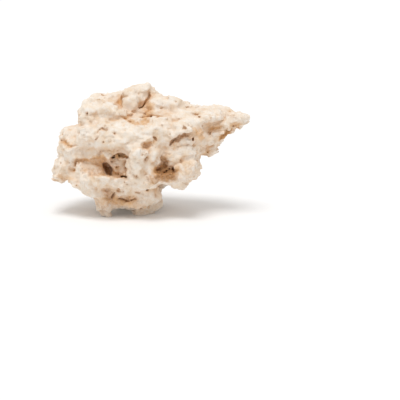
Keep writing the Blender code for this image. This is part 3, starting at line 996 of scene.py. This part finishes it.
    @staticmethod
    def blend(graph: NodeGraph, share: Socket, under: object, over: object) -> Socket:
        """Lays one colour over another.

        Args:
            graph: Graph to add to.
            share: How much of the upper colour shows, 0 to 1.
            under: Lower colour.
            over: Upper colour.

        Returns:
            The mixed colour's socket.
        """
        node = graph.add("ShaderNodeMix", data_type="RGBA", blend_type="MIX")
        graph.fill(node, Factor=share)
        colours = [socket for socket in node.inputs if socket.type == "RGBA"]
        graph.feed(colours[0], under)
        graph.feed(colours[1], over)
        return [socket for socket in node.outputs if socket.type == "RGBA"][0]


@dataclass(frozen=True)
class Relief:
    """Bedding, grain, creases and small pits over the whole rock.

    Lengths are millimetres.

    Attributes:
        bend: Waves by which the bedding bends.
        bedding: Stretch of space that draws forms out along the bedding.
        slab: Mean size of the blocks that stand in steps.
        slab_soft: Roundness of their steps.
        slab_rise: Height from the lowest step to the highest.
        lumps: Waves of the rounded lumps.
        lump_level: Level of those waves at which a lump has no height.
        lump_rise: Height of the lumps.
        edges: Waves of the sharp creases.
        edge_level: Level of those waves at which a crease has no depth.
        edge_rise: Depth of the creases.
        grain: Waves of the grain.
        pitted: Waves that say where the stone is pitted.
        pitted_ramp: How pitted it is with them.
        tear: Waves that tear the outlines of the pits.
        tear_shape: Stretch of space that draws the pits out.
        pit_gap: Mean distance between the pits.
        pit_shift: Offset of the pits.
        pit_ramp: Depth of a pit with the distance from its middle.
    """

    bend: Waves = Waves(12.0, 3.0, strength=8.0)
    bedding: Triple = (0.5, 0.5, 1.0)
    slab: float = 7.0
    slab_soft: float = 0.35
    slab_rise: float = 2.4
    lumps: Waves = Waves(12.0, 2.0, 0.5, (9.0, 2.0, 5.0))
    lump_level: float = 0.08
    lump_rise: float = 10.0
    edges: Waves = Waves(5.5, 2.0, 0.55, (2.0, 22.0, 5.0))
    edge_level: float = 0.08
    edge_rise: float = 4.2
    grain: Waves = Waves(2.8, 3.0, 0.7, (0.0, 6.0, 3.0), 3.1)
    pitted: Waves = Waves(17.0, 2.0, 0.5, (6.0, 1.0, 8.0))
    pitted_ramp: Ramp = Ramp(-0.06, 0.12)
    tear: Waves = Waves(3.0, 1.0, strength=4.0)
    tear_shape: Triple = (0.7, 0.7, 1.0)
    pit_gap: float = 3.4
    pit_shift: Triple = (5.0, 5.0, 5.0)
    pit_ramp: Ramp = Ramp(1.4, 0.5, 0.5, smooth=True)

    def missing(self, graph: NodeGraph, place: Socket) -> Socket:
        """Works out how much stone is missing at a place.

        Args:
            graph: Graph to add to.
            place: Where to measure, in millimetres.

        Returns:
            The amount in millimetres, below 0 where stone is added.
        """
        bent = graph.strayed(place, self.bend)
        layered = graph.vectors("MULTIPLY", bent, self.bedding)
        slabs = graph.maths("MULTIPLY", graph.blocks(layered, self.slab, self.slab_soft), self.slab_rise)
        lumps = graph.maths("ABSOLUTE", graph.noise(bent, self.lumps))
        lumps = graph.maths("MULTIPLY", graph.maths("SUBTRACT", self.lump_level, lumps), self.lump_rise)
        edges = graph.maths("ABSOLUTE", graph.noise(layered, self.edges))
        edges = graph.maths("MULTIPLY", graph.maths("SUBTRACT", edges, self.edge_level), self.edge_rise)
        pitted = graph.ramp(graph.noise(place, self.pitted), self.pitted_ramp)
        torn = graph.vectors("MULTIPLY", graph.strayed(place, self.tear), self.tear_shape)
        pits = graph.ramp(graph.cells(torn, self.pit_gap, self.pit_shift), self.pit_ramp)
        grain = graph.maths("ADD", graph.noise(place, self.grain), graph.maths("MULTIPLY", pitted, pits))
        return graph.maths("ADD", graph.maths("ADD", graph.maths("ADD", slabs, edges), lumps), grain)


@dataclass(frozen=True)
class Bubbles:
    """Small round hollows that come and go over the rock.

    Lengths are millimetres.

    Attributes:
        gap: Mean distance between their middles.
        shift: Offset of their middles.
        where: Waves that say where they are large.
        least: Added to those waves.
        size: Radius for a full wave.
        bend: Waves that bend their outlines.
    """

    gap: float = 8.0
    shift: Triple = (0.0, 0.0, 0.0)
    where: Waves = Waves(22.0, 1.0, 0.5, (40.0, 0.0, 7.0))
    least: float = 0.04
    size: float = 5.5
    bend: Waves = Waves(5.0, 1.0, strength=2.5)

    def depth(self, graph: NodeGraph, place: Socket) -> Socket:
        """Works out how deep inside a hollow a place is.

        Args:
            graph: Graph to add to.
            place: Where to measure, in millimetres.

        Returns:
            The depth in millimetres, below 0 outside the hollows.
        """
        swell = graph.maths("ADD", graph.noise(place, self.where), self.least)
        middle = graph.cells(graph.strayed(place, self.bend), self.gap, self.shift)
        return graph.maths("SUBTRACT", graph.maths("MULTIPLY", swell, self.size), middle)


@dataclass(frozen=True)
class FineSurface:
    """The rock's fine surface, written as a distance in space and meshed.

    Lengths are millimetres.

    Attributes:
        voxel: Size of its smallest forms.
        margin: Room round the guide.
        wander: Waves by which it strays sideways.
        relief: Forms of the whole rock.
        bubbles: Round hollows of the whole rock.
        growth_blend: Roundness where a growth meets the stone.
        cut_fray: Waves that fray the edges of cuts.
        cut_blend: Roundness of the edges of cuts.
        bubble_blend: Roundness of the edges of the round hollows.
        foot: How the foot swells towards the floor, so that it stays flat on it.
        band: Voxels over which the stone's density falls from full to none.
        level: Density at the surface.
        crumb: Points that a loose piece needs to be kept.
    """

    voxel: float = 0.84
    quick_factor: float = 1.6
    margin: float = 3.5
    wander: Waves = Waves(9.0, 2.0, 0.5, (4.0, 9.0, 2.0), 2.4)
    relief: Relief = Relief()
    bubbles: Bubbles = Bubbles()
    growth_blend: float = 3.0
    cut_fray: Waves = Waves(2.6, 2.0, 0.6, strength=3.0)
    cut_blend: float = 1.2
    bubble_blend: float = 1.4
    foot: Ramp = Ramp(3.0, 0.0, 1.4, smooth=True)
    band: float = 4.0
    level: float = 0.5
    crumb: float = 20000.0

    @property
    def grain(self) -> float:
        return self.voxel

    def grow(
        self, guide: bpy.types.Object, cuts: bpy.types.Object, growths: bpy.types.Object
    ) -> bpy.types.Object:
        """Grows the fine surface round the guide.

        Args:
            guide: Smooth guide.
            cuts: Cloud of what is cut in.
            growths: Cloud of what stands out.

        Returns:
            The rock with its fine surface as a plain mesh.
        """
        graph = NodeGraph.geometry("fine_surface")
        source = graph.add("NodeGroupInput").outputs[0]
        position = graph.add("GeometryNodeInputPosition").outputs[0]
        place = graph.vectors("SCALE", position, 1.0 / MM)
        body = self.distance(graph, source, cuts, growths, place)
        stone = self.meshed(graph, guide, body)
        rock = linked("reef_rock_stone", guide.data.copy())
        graph.run_on(rock, self.swept(graph, stone))
        log.info("fine surface of %d faces", len(rock.data.polygons))
        return rock

    def distance(
        self,
        graph: NodeGraph,
        source: Socket,
        cuts: bpy.types.Object,
        growths: bpy.types.Object,
        place: Socket,
    ) -> Socket:
        """Distance to the rock's surface.

        Args:
            graph: Graph to add to.
            source: The guide's geometry.
            cuts: Cloud of what is cut in.
            growths: Cloud of what stands out.
            place: Where to measure, in millimetres.

        Returns:
            The distance in millimetres, below 0 inside the rock.
        """
        strayed = graph.strayed(place, self.wander)
        body = self.skin(graph, source, strayed)
        body = graph.maths("SMOOTH_MIN", body, self.tubes(graph, growths, strayed), self.growth_blend)
        body = graph.maths("ADD", body, self.relief.missing(graph, place))
        gouge = graph.maths("MULTIPLY", self.tubes(graph, cuts, strayed), -1.0)
        gouge = graph.maths("SUBTRACT", gouge, graph.noise(place, self.cut_fray))
        body = graph.maths("SMOOTH_MAX", body, gouge, self.cut_blend)
        body = graph.maths("SMOOTH_MAX", body, self.bubbles.depth(graph, place), self.bubble_blend)
        height = graph.part(place, "Z")
        body = graph.maths("SUBTRACT", body, graph.ramp(height, self.foot))
        return graph.maths("MAXIMUM", body, graph.maths("MULTIPLY", height, -1.0))

    def meshed(self, graph: NodeGraph, guide: bpy.types.Object, body: Socket) -> Socket:
        """Turns the distance into a mesh.

        Args:
            graph: Graph to add to.
            guide: Smooth guide, for the room that is needed.
            body: Distance to the rock's surface, in millimetres.

        Returns:
            The mesh's socket.
        """
        depth = graph.maths("DIVIDE", body, self.grain * self.band)
        density = graph.maths("SUBTRACT", self.level, depth, clamp=True)
        edge = Vector((1.0, 1.0, 1.0)) * self.margin * MM
        low = Vector(guide.bound_box[LOW_CORNER]) - edge
        high = Vector(guide.bound_box[HIGH_CORNER]) + edge
        cube = graph.fill(graph.add("GeometryNodeVolumeCube"), Density=density, Min=low, Max=high)
        for axis, start, end in zip("XYZ", low, high):
            graph.feed(cube.inputs["Resolution " + axis], round((end - start) / (self.grain * MM)))
        mesher = graph.add("GeometryNodeVolumeToMesh")
        return graph.fill(mesher, Volume=cube.outputs[0], Threshold=self.level).outputs[0]

    def swept(self, graph: NodeGraph, stone: Socket) -> Socket:
        """Leaves loose crumbs out.

        Args:
            graph: Graph to add to.
            stone: The mesh.

        Returns:
            The mesh's socket, without them.
        """
        island = graph.add("GeometryNodeInputMeshIsland").outputs["Island Index"]
        count = graph.fill(graph.add("GeometryNodeAccumulateField"), Value=1.0, Group_ID=island)
        crumbs = graph.maths("LESS_THAN", count.outputs["Total"], self.crumb)
        keep = graph.fill(graph.add("GeometryNodeDeleteGeometry"), Geometry=stone, Selection=crumbs)
        return keep.outputs[0]

    @staticmethod
    def skin(graph: NodeGraph, source: Socket, place: Socket) -> Socket:
        """Signed distance to the guide.

        Args:
            graph: Graph to add to.
            source: The guide's geometry.
            place: Where to measure, in millimetres.

        Returns:
            The distance in millimetres, below 0 inside the guide.
        """
        at = graph.vectors("SCALE", place, MM)
        near = graph.add("GeometryNodeProximity", target_element="FACES")
        graph.fill(near, Geometry=source, Sample_Position=at)
        facing = graph.add("GeometryNodeSampleNearestSurface", data_type="FLOAT_VECTOR")
        normal = graph.add("GeometryNodeInputNormal").outputs[0]
        graph.fill(facing, Mesh=source, Sample_Position=at, Value=normal)
        away = graph.vectors("SUBTRACT", at, near.outputs["Position"])
        side = graph.maths("SIGN", graph.vectors("DOT_PRODUCT", away, facing.outputs["Value"]))
        return graph.maths("MULTIPLY", side, graph.maths("DIVIDE", near.outputs["Distance"], MM))

    @staticmethod
    def tubes(graph: NodeGraph, cloud: bpy.types.Object, place: Socket) -> Socket:
        """Signed distance to the balls round a cloud's points.

        Args:
            graph: Graph to add to.
            cloud: The cloud.
            place: Where to measure, in millimetres.

        Returns:
            The distance in millimetres, below 0 inside the balls.
        """
        dot = NearestDot(graph, cloud, graph.vectors("SCALE", place, MM))
        gap = graph.maths("SUBTRACT", dot.distance, dot.read("reach"))
        return graph.maths("DIVIDE", gap, MM)


@dataclass(frozen=True)
class ShadeAndStains:
    """Measures how sheltered each point of the rock is, for its finish's painted shade, and how stained it
    is.

    Lengths are metres, and rounds are edges of the mesh.

    Attributes:
        rays: Directions in which cover is looked for.
        near: How far off near cover is.
        far: How far off any cover is.
        lift: Distance from the stone at which the rays start.
        cover_rounds: Rounds over which cover is evened out.
        hollow_rounds: Rounds over which a point is compared with its neighbours.
        hollow_depth: How far below them a full hollow lies.
        rust_rounds: Rounds over which rust is evened out.
        umber_rounds: Rounds over which umber is evened out.
        rust_ramp: Rust with the distance from a mark, in radii of the mark.
        umber_ramp: Umber with that distance.
    """

    rays: int = 28
    near: float = 7 * MM
    far: float = 32 * MM
    lift: float = 0.5 * MM
    cover_rounds: int = 7
    hollow_rounds: int = 6
    hollow_depth: float = 0.8 * MM
    rust_rounds: int = 8
    umber_rounds: int = 2
    rust_ramp: Ramp = Ramp(2.0, 0.6, smooth=True)
    umber_ramp: Ramp = Ramp(1.6, 0.8, smooth=True)

    def write(self, rock: bpy.types.Object, cuts: bpy.types.Object, washes: bpy.types.Object) -> None:
        """Writes what it measures as attributes of the rock's points.

        Args:
            rock: The rock's piece.
            cuts: Cloud of what is cut in.
            washes: Cloud of what only colours the stone.
        """
        graph = NodeGraph.geometry("shade_and_stains")
        stone = graph.add("NodeGroupInput").outputs[0]
        position = graph.add("GeometryNodeInputPosition").outputs[0]
        normal = graph.add("GeometryNodeInputNormal").outputs[0]
        # Cover found by cast rays, which the finish paints as shade.
        nook, shelter = self.covered(graph, stone, position, normal)
        mean = self.blurred(graph, position, self.hollow_rounds, "FLOAT_VECTOR")
        rise = graph.vectors("DOT_PRODUCT", graph.vectors("SUBTRACT", mean, position), normal)
        rust, umber = self.stained(graph, cuts, position)
        # The washes hold stains and the shade marks' painted shade.
        wash_rust_and_shade, wash_umber_and_shade = self.stained(graph, washes, position)
        # nook, shelter and hollow feed the finish's painted shade.
        titles = {
            "nook": self.blurred(graph, nook, self.cover_rounds),
            "shelter": self.blurred(graph, shelter, self.cover_rounds),
            "hollow": graph.maths("DIVIDE", rise, self.hollow_depth),
            "rust": self.blurred(graph, graph.maths("MAXIMUM", rust, wash_rust_and_shade), self.rust_rounds),
            "umber": self.blurred(graph, graph.maths("MAXIMUM", umber, wash_umber_and_shade), self.umber_rounds),
        }
        for title, amount in titles.items():
            store = graph.add("GeometryNodeStoreNamedAttribute", data_type="FLOAT", domain="POINT")
            stone = graph.fill(store, Geometry=stone, Name=title, Value=amount).outputs[0]
        graph.run_on(rock, stone)

    @staticmethod
    def blurred(graph: NodeGraph, value: Socket, rounds: int, kind: str = "FLOAT") -> Socket:
        """Spreads a value over the points that lie up to so many rounds of edges off."""
        blur = graph.add("GeometryNodeBlurAttribute", data_type=kind)
        return graph.fill(blur, Value=value, Iterations=rounds).outputs["Value"]

    def stained(
        self, graph: NodeGraph, cloud: bpy.types.Object, position: Socket
    ) -> tuple[Socket, Socket]:
        """Colour that a cloud's nearest point leaves round it: stains, and painted shade from the shade
        marks.

        Args:
            graph: Graph to add to.
            cloud: The cloud.
            position: The rock's points.

        Returns:
            Orange colour and dark colour, 0 to 1, for stains and painted shade.
        """
        dot = NearestDot(graph, cloud, position)
        gap = graph.maths("DIVIDE", dot.distance, dot.read("reach"))
        rust = graph.maths("MULTIPLY", graph.ramp(gap, self.rust_ramp), dot.read("rust"))
        umber = graph.maths("MULTIPLY", graph.ramp(gap, self.umber_ramp), dot.read("umber"))
        return rust, umber

    def covered(
        self, graph: NodeGraph, stone: Socket, position: Socket, normal: Socket
    ) -> tuple[Socket, Socket]:
        """Share of each point's outlook that the stone itself covers.

        Args:
            graph: Graph to add to.
            stone: The rock's geometry.
            position: Its points.
            normal: Its normals.

        Returns:
            How covered a point is from near, and from anywhere, 0 to 1.
        """
        start = graph.vectors("ADD", position, graph.vectors("SCALE", normal, self.lift))
        near_sum, far_sum, weights = 0.0, 0.0, 0.0
        for index in range(self.rays):
            rise = 1.0 - (2 * index + 1) / self.rays
            turn = index * math.pi * GOLDEN_SHARE
            flat = math.sqrt(1.0 - rise * rise)
            direction = (flat * math.cos(turn), flat * math.sin(turn), rise)
            facing = graph.vectors("DOT_PRODUCT", normal, direction)
            outward = graph.vectors("SCALE", direction, graph.maths("SIGN", facing))
            cast = graph.add("GeometryNodeRaycast")
            graph.fill(
                cast, Target_Geometry=stone, Source_Position=start, Ray_Direction=outward, Ray_Length=self.far
            )
            weight = graph.maths("ABSOLUTE", facing)
            hit = graph.maths("MULTIPLY", cast.outputs["Is Hit"], weight)
            close = graph.maths("LESS_THAN", cast.outputs["Hit Distance"], self.near)
            near_sum = graph.maths("ADD", near_sum, graph.maths("MULTIPLY", hit, close))
            far_sum = graph.maths("ADD", far_sum, hit)
            weights = graph.maths("ADD", weights, weight)
        return graph.maths("DIVIDE", near_sum, weights), graph.maths("DIVIDE", far_sum, weights)


@dataclass(frozen=True)
class Strewing:
    """Strews small hollows over the whole rock.

    Attributes:
        scatters: What is strewn, in this order.
        seed: Seed of the random draws.
        front_facing: How squarely a face of the front faces the camera, 0 to 1.
        front_share: Share of hollows that the front gets, because it has marks of its own.
        stray: How far hollows mostly stray from their cluster's middle, as a share of its reach.
        lean: Most slope of a hollow against the bedding.
        sway: Most step of a hollow's line up or down, as a share of half its length.
        profile: Places along a hollow, -1 to 1, and the share of its radius at each.
    """

    scatters: tuple[Scatter, ...] = (PORES, PITS, CLEFTS)
    seed: int = 11
    front_facing: float = 0.3
    front_share: float = 0.25
    stray: float = 0.5
    lean: float = 0.4
    sway: float = 0.25
    profile: tuple[Pair, ...] = ((-1.0, 0.5), (-0.4, 1.0), (0.3, 0.8), (1.0, 0.5))

    def strew(self, tree: BVHTree, guide: bpy.types.Object, view: PhotoView, cuts: DotCloud) -> None:
        """Scatters the hollows.

        Args:
            tree: Search tree of the guide.
            guide: The guide itself.
            view: Camera that sees the front.
            cuts: Cloud that the hollows are cut with.
        """
        draw = random.Random(self.seed)
        faces = guide.data.polygons
        fronts = [face.normal.dot(view.back) > self.front_facing for face in faces]
        areas = [face.area * (self.front_share if front else 1.0) for face, front in zip(faces, fronts)]
        for scatter in self.scatters:
            total = 0
            for home in draw.choices(range(len(faces)), weights=areas, k=scatter.clusters):
                for _ in range(draw.randint(*scatter.each)):
                    self.sink(draw, scatter, faces[home].center, tree, cuts)
                    total += 1
            log.info("%d %s", total, scatter.name)

    def sink(
        self, draw: random.Random, scatter: Scatter, home: Vector, tree: BVHTree, cuts: DotCloud
    ) -> None:
        """Sinks one hollow near a cluster's middle.

        Args:
            draw: Source of the random draws.
            scatter: What the hollow is.
            home: The cluster's middle.
            tree: Search tree of the guide.
            cuts: Cloud that the hollow is cut with.
        """
        stray = Vector([draw.gauss(0.0, scatter.spread * self.stray * MM) for _ in range(3)])
        spot, normal = tree.find_nearest(home + stray)[:2]
        side = Vector((0.0, 0.0, 1.0)).cross(normal)
        lean = Vector((0.0, 0.0, draw.uniform(-self.lean, self.lean)))
        half = (side + lean) * draw.uniform(*scatter.length) * 0.5 * MM
        reach = draw.uniform(*scatter.reach) * MM
        path = []
        for share, size in self.profile:
            sway = Vector((0.0, 0.0, draw.uniform(-self.sway, self.sway) * half.length))
            path.append((tree.find_nearest(spot + half * share + sway)[0], reach * size))
        depth = draw.uniform(*scatter.depth) * MM
        rust = draw.uniform(0.0, scatter.rust)
        umber = draw.uniform(0.0, scatter.umber)
        cuts.run(path, -normal, depth, rust, umber, above=reach)


@dataclass(frozen=True)
class ReefRock:
    """The rock, grown round its solid.

    Lengths are millimetres.

    Attributes:
        view: Camera whose pixels place the front's marks.
        finish: Finish of the stone.
        surface: Fine surface.
        strewing: Hollows of the whole rock.
        shade_and_stains: What the finish needs to know of each point, for its painted shade and its stains.
        merge: Distance under which points of the solid are one.
        soft_voxel: Voxel of the guide, the smoothed solid that the fine surface follows.
        soft_rounds: Rounds of smoothing of the guide.
        cut_above: How far outside the guide a cut starts.
        wash_above: How far outside the guide a wash starts, for stains and painted shade alike.
        wash_depth: How far inside the guide a wash ends, for stains and painted shade alike.
        triangles: Most triangles of the finished mesh.
        sugar: Waves of the sugary grain, their strength in metres.
        sugar_ramp: How the grain fades in above the floor.
    """

    view: PhotoView
    finish: StoneFinish
    surface: FineSurface = FineSurface()
    strewing: Strewing = Strewing()
    shade_and_stains: ShadeAndStains = ShadeAndStains()
    merge: float = 0.01
    soft_voxel: float = 1.6
    soft_rounds: int = 3
    cut_above: float = 4.0
    wash_above: float = 6.0
    wash_depth: float = 8.0
    triangles: int = 194000
    sugar: Waves = Waves(1.7, 2.0, 0.7, (3.0, 33.0, 13.0), 0.95 * MM)
    sugar_ramp: Ramp = Ramp(0.5, 2.5)

    def build(self) -> bpy.types.Object:
        """Makes the rock.

        Returns:
            The finished piece.
        """
        soft = self.soften()
        tree = BVHTree.FromObject(soft, bpy.context.evaluated_depsgraph_get())
        cuts, growths, washes = self.lay_marks(tree)
        self.strewing.strew(tree, soft, self.view, cuts)
        clouds = [cloud.build() for cloud in (cuts, growths, washes)]
        rock = self.surface.grow(soft, clouds[0], clouds[1])
        self.thin(rock)
        self.roughen(rock)
        self.shade_and_stains.write(rock, clouds[0], clouds[2])
        for helper in (soft, *clouds):
            bpy.data.objects.remove(helper)
        rock.data.shade_smooth()
        return rock

    def soften(self) -> bpy.types.Object:
        """Copies the solid's mesh, merges it and rounds its facets off.

        Returns:
            A closed, smooth guide in the rock's place.
        """
        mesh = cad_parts[NODE].data.copy()
        shape = bmesh.new()
        shape.from_mesh(mesh)
        bmesh.ops.remove_doubles(shape, verts=shape.verts, dist=self.merge * MM)
        shape.to_mesh(mesh)
        shape.free()
        guide = linked("guide", mesh)
        remesh = guide.modifiers.new("even", "REMESH")
        remesh.mode = "VOXEL"
        remesh.voxel_size = self.soft_voxel * MM
        smooth = guide.modifiers.new("round", "SMOOTH")
        smooth.iterations = self.soft_rounds
        settle(guide)
        return guide

    def lay_marks(self, tree: BVHTree) -> tuple[DotCloud, DotCloud, DotCloud]:
        """Sets the front's marks on the surface, through the pixels of the photograph.

        Args:
            tree: Search tree of the guide.

        Returns:
            The clouds of cuts, growths and washes.
        """
        cuts, growths, washes = DotCloud("cuts"), DotCloud("growths"), DotCloud("washes")
        inward = -self.view.back
        for mark in FRONT_MARKS:
            path = [
                (self.under_pixel(tree, mark, column, row), reach * MM) for column, row, reach in mark.path
            ]
            log.debug("mark %s", mark.name)
            if mark.kind is MarkKind.CUT:
                cuts.run(path, inward, mark.depth * MM, mark.rust, mark.umber, above=self.cut_above * MM)
            if mark.kind is MarkKind.GROWTH:
                path = [(spot + inward * mark.depth * MM, reach) for spot, reach in path]
                growths.run(path, inward, 0.0, mark.rust, mark.umber)
            # Washes: stains, and painted shade for the shade marks.
            if mark.kind is MarkKind.STAIN_AND_SHADE:
                depth, above = self.wash_depth * MM, self.wash_above * MM
                washes.run(path, inward, depth, mark.rust, mark.umber, above=above)
        log.info("%d marks on the front", len(FRONT_MARKS))
        return cuts, growths, washes

    def under_pixel(self, tree: BVHTree, mark: Mark, column: float, row: float) -> Vector:
        """Place of a mark's point: on the guide where the camera sees it, or on the mark's own plane.

        Args:
            tree: Search tree of the guide.
            mark: The mark.
            column: Pixels from the photograph's left edge.
            row: Pixels from its top edge.

        Returns:
            The place, or the guide's nearest place where the pixel misses it.
        """
        ray = self.view.ray(column, row)
        if mark.front is not None:
            return self.view.eye + ray * ((mark.front * MM - self.view.eye.y) / ray.y)
        hit = tree.ray_cast(self.view.eye, ray)[0]
        return hit or tree.find_nearest(self.view.eye + ray * self.view.distance)[0]

    def thin(self, rock: bpy.types.Object) -> None:
        """Brings the mesh under the most triangles it may have.

        Args:
            rock: The rock's piece.
        """
        count = sum(len(face.vertices) - 2 for face in rock.data.polygons)
        if count > self.triangles:
            decimate = rock.modifiers.new("thin", "DECIMATE")
            decimate.ratio = self.triangles / count
            settle(rock)
        log.info("thinned from %d triangles to %d faces", count, len(rock.data.polygons))

    def roughen(self, rock: bpy.types.Object) -> None:
        """Gives the surface its sugary grain.

        Args:
            rock: The rock's piece.
        """
        graph = NodeGraph.geometry("grain")
        position = graph.add("GeometryNodeInputPosition").outputs[0]
        normal = graph.add("GeometryNodeInputNormal").outputs[0]
        place = graph.vectors("SCALE", position, 1.0 / MM)
        free = graph.ramp(graph.part(place, "Z"), self.sugar_ramp)
        amount = graph.maths("MULTIPLY", graph.noise(place, self.sugar), free)
        offset = graph.vectors("SCALE", normal, amount)
        move = graph.add("GeometryNodeSetPosition")
        graph.fill(move, Geometry=graph.add("NodeGroupInput").outputs[0], Offset=offset)
        graph.run_on(rock, move.outputs[0])

    def dress(self, rock: bpy.types.Object) -> None:
        """Gives the rock its finish and its place in the frame.

        Args:
            rock: The rock's piece.
        """
        rock.data.materials.clear()
        rock.data.materials.append(self.finish.build())
        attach(rock, BODY)
        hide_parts(NODE)


@dataclass(frozen=True)
class Studio:
    """Plain pale floor under soft light.

    Attributes:
        floor_half: Half the floor's width, in metres.
        floor_tone: Grey of the floor, linear.
        floor_roughness: Roughness of the floor.
        floor_gloss: Specular level of the floor.
        sky: Strength of the even light from all round.
        key: Strength of the soft key light.
        key_spread: How wide the key light is, in radians.
        key_from: Direction that it comes from.
    """

    floor_half: float = 12.0
    floor_tone: float = 0.93
    floor_roughness: float = 1.0
    floor_gloss: float = 0.0
    sky: float = 0.68
    key: float = 1.5
    key_spread: float = math.radians(30.0)
    key_from: Triple = (-0.1, -0.3, 1.0)

    def build(self) -> None:
        """Makes the floor, the sky and the key light."""
        self.lay_floor()
        self.light_up()
        bpy.context.scene.view_settings.view_transform = "Standard"

    def lay_floor(self) -> None:
        """Makes the floor."""
        shape = bmesh.new()
        bmesh.ops.create_grid(shape, x_segments=1, y_segments=1, size=self.floor_half)
        mesh = bpy.data.meshes.new("floor")
        shape.to_mesh(mesh)
        shape.free()
        floor = linked("floor", mesh)
        paint = bpy.data.materials.new("floor")
        paint.use_nodes = True
        shader = paint.node_tree.nodes["Principled BSDF"]
        shader.inputs["Base Color"].default_value = (self.floor_tone,) * 3 + (1.0,)
        shader.inputs["Roughness"].default_value = self.floor_roughness
        shader.inputs["Specular IOR Level"].default_value = self.floor_gloss
        mesh.materials.append(paint)

    def light_up(self) -> None:
        """Makes the sky and the key light."""
        world = bpy.data.worlds.new("studio")
        world.use_nodes = True
        background = world.node_tree.nodes["Background"]
        background.inputs["Color"].default_value = WHITE
        background.inputs["Strength"].default_value = self.sky
        bpy.context.scene.world = world
        light = bpy.data.lights.new("key", "SUN")
        light.energy = self.key
        light.angle = self.key_spread
        lamp = linked("key", light)
        lamp.rotation_euler = Vector(self.key_from).to_track_quat("Z", "Y").to_euler()


def main() -> None:
    """Builds the camera, the rock and the studio, and notes the sizes."""
    logging.basicConfig(level=logging.INFO, format="%(relativeCreated)6d ms %(message)s")
    view = PhotoView()
    view.build()
    log.info("camera set")
    stone = ReefRock(view=view, finish=StoneFinish())
    rock = stone.build()
    stone.dress(rock)
    log.info("rock built")
    Studio().build()
    log.info("studio built")


if __name__ == "__main__":
    main()
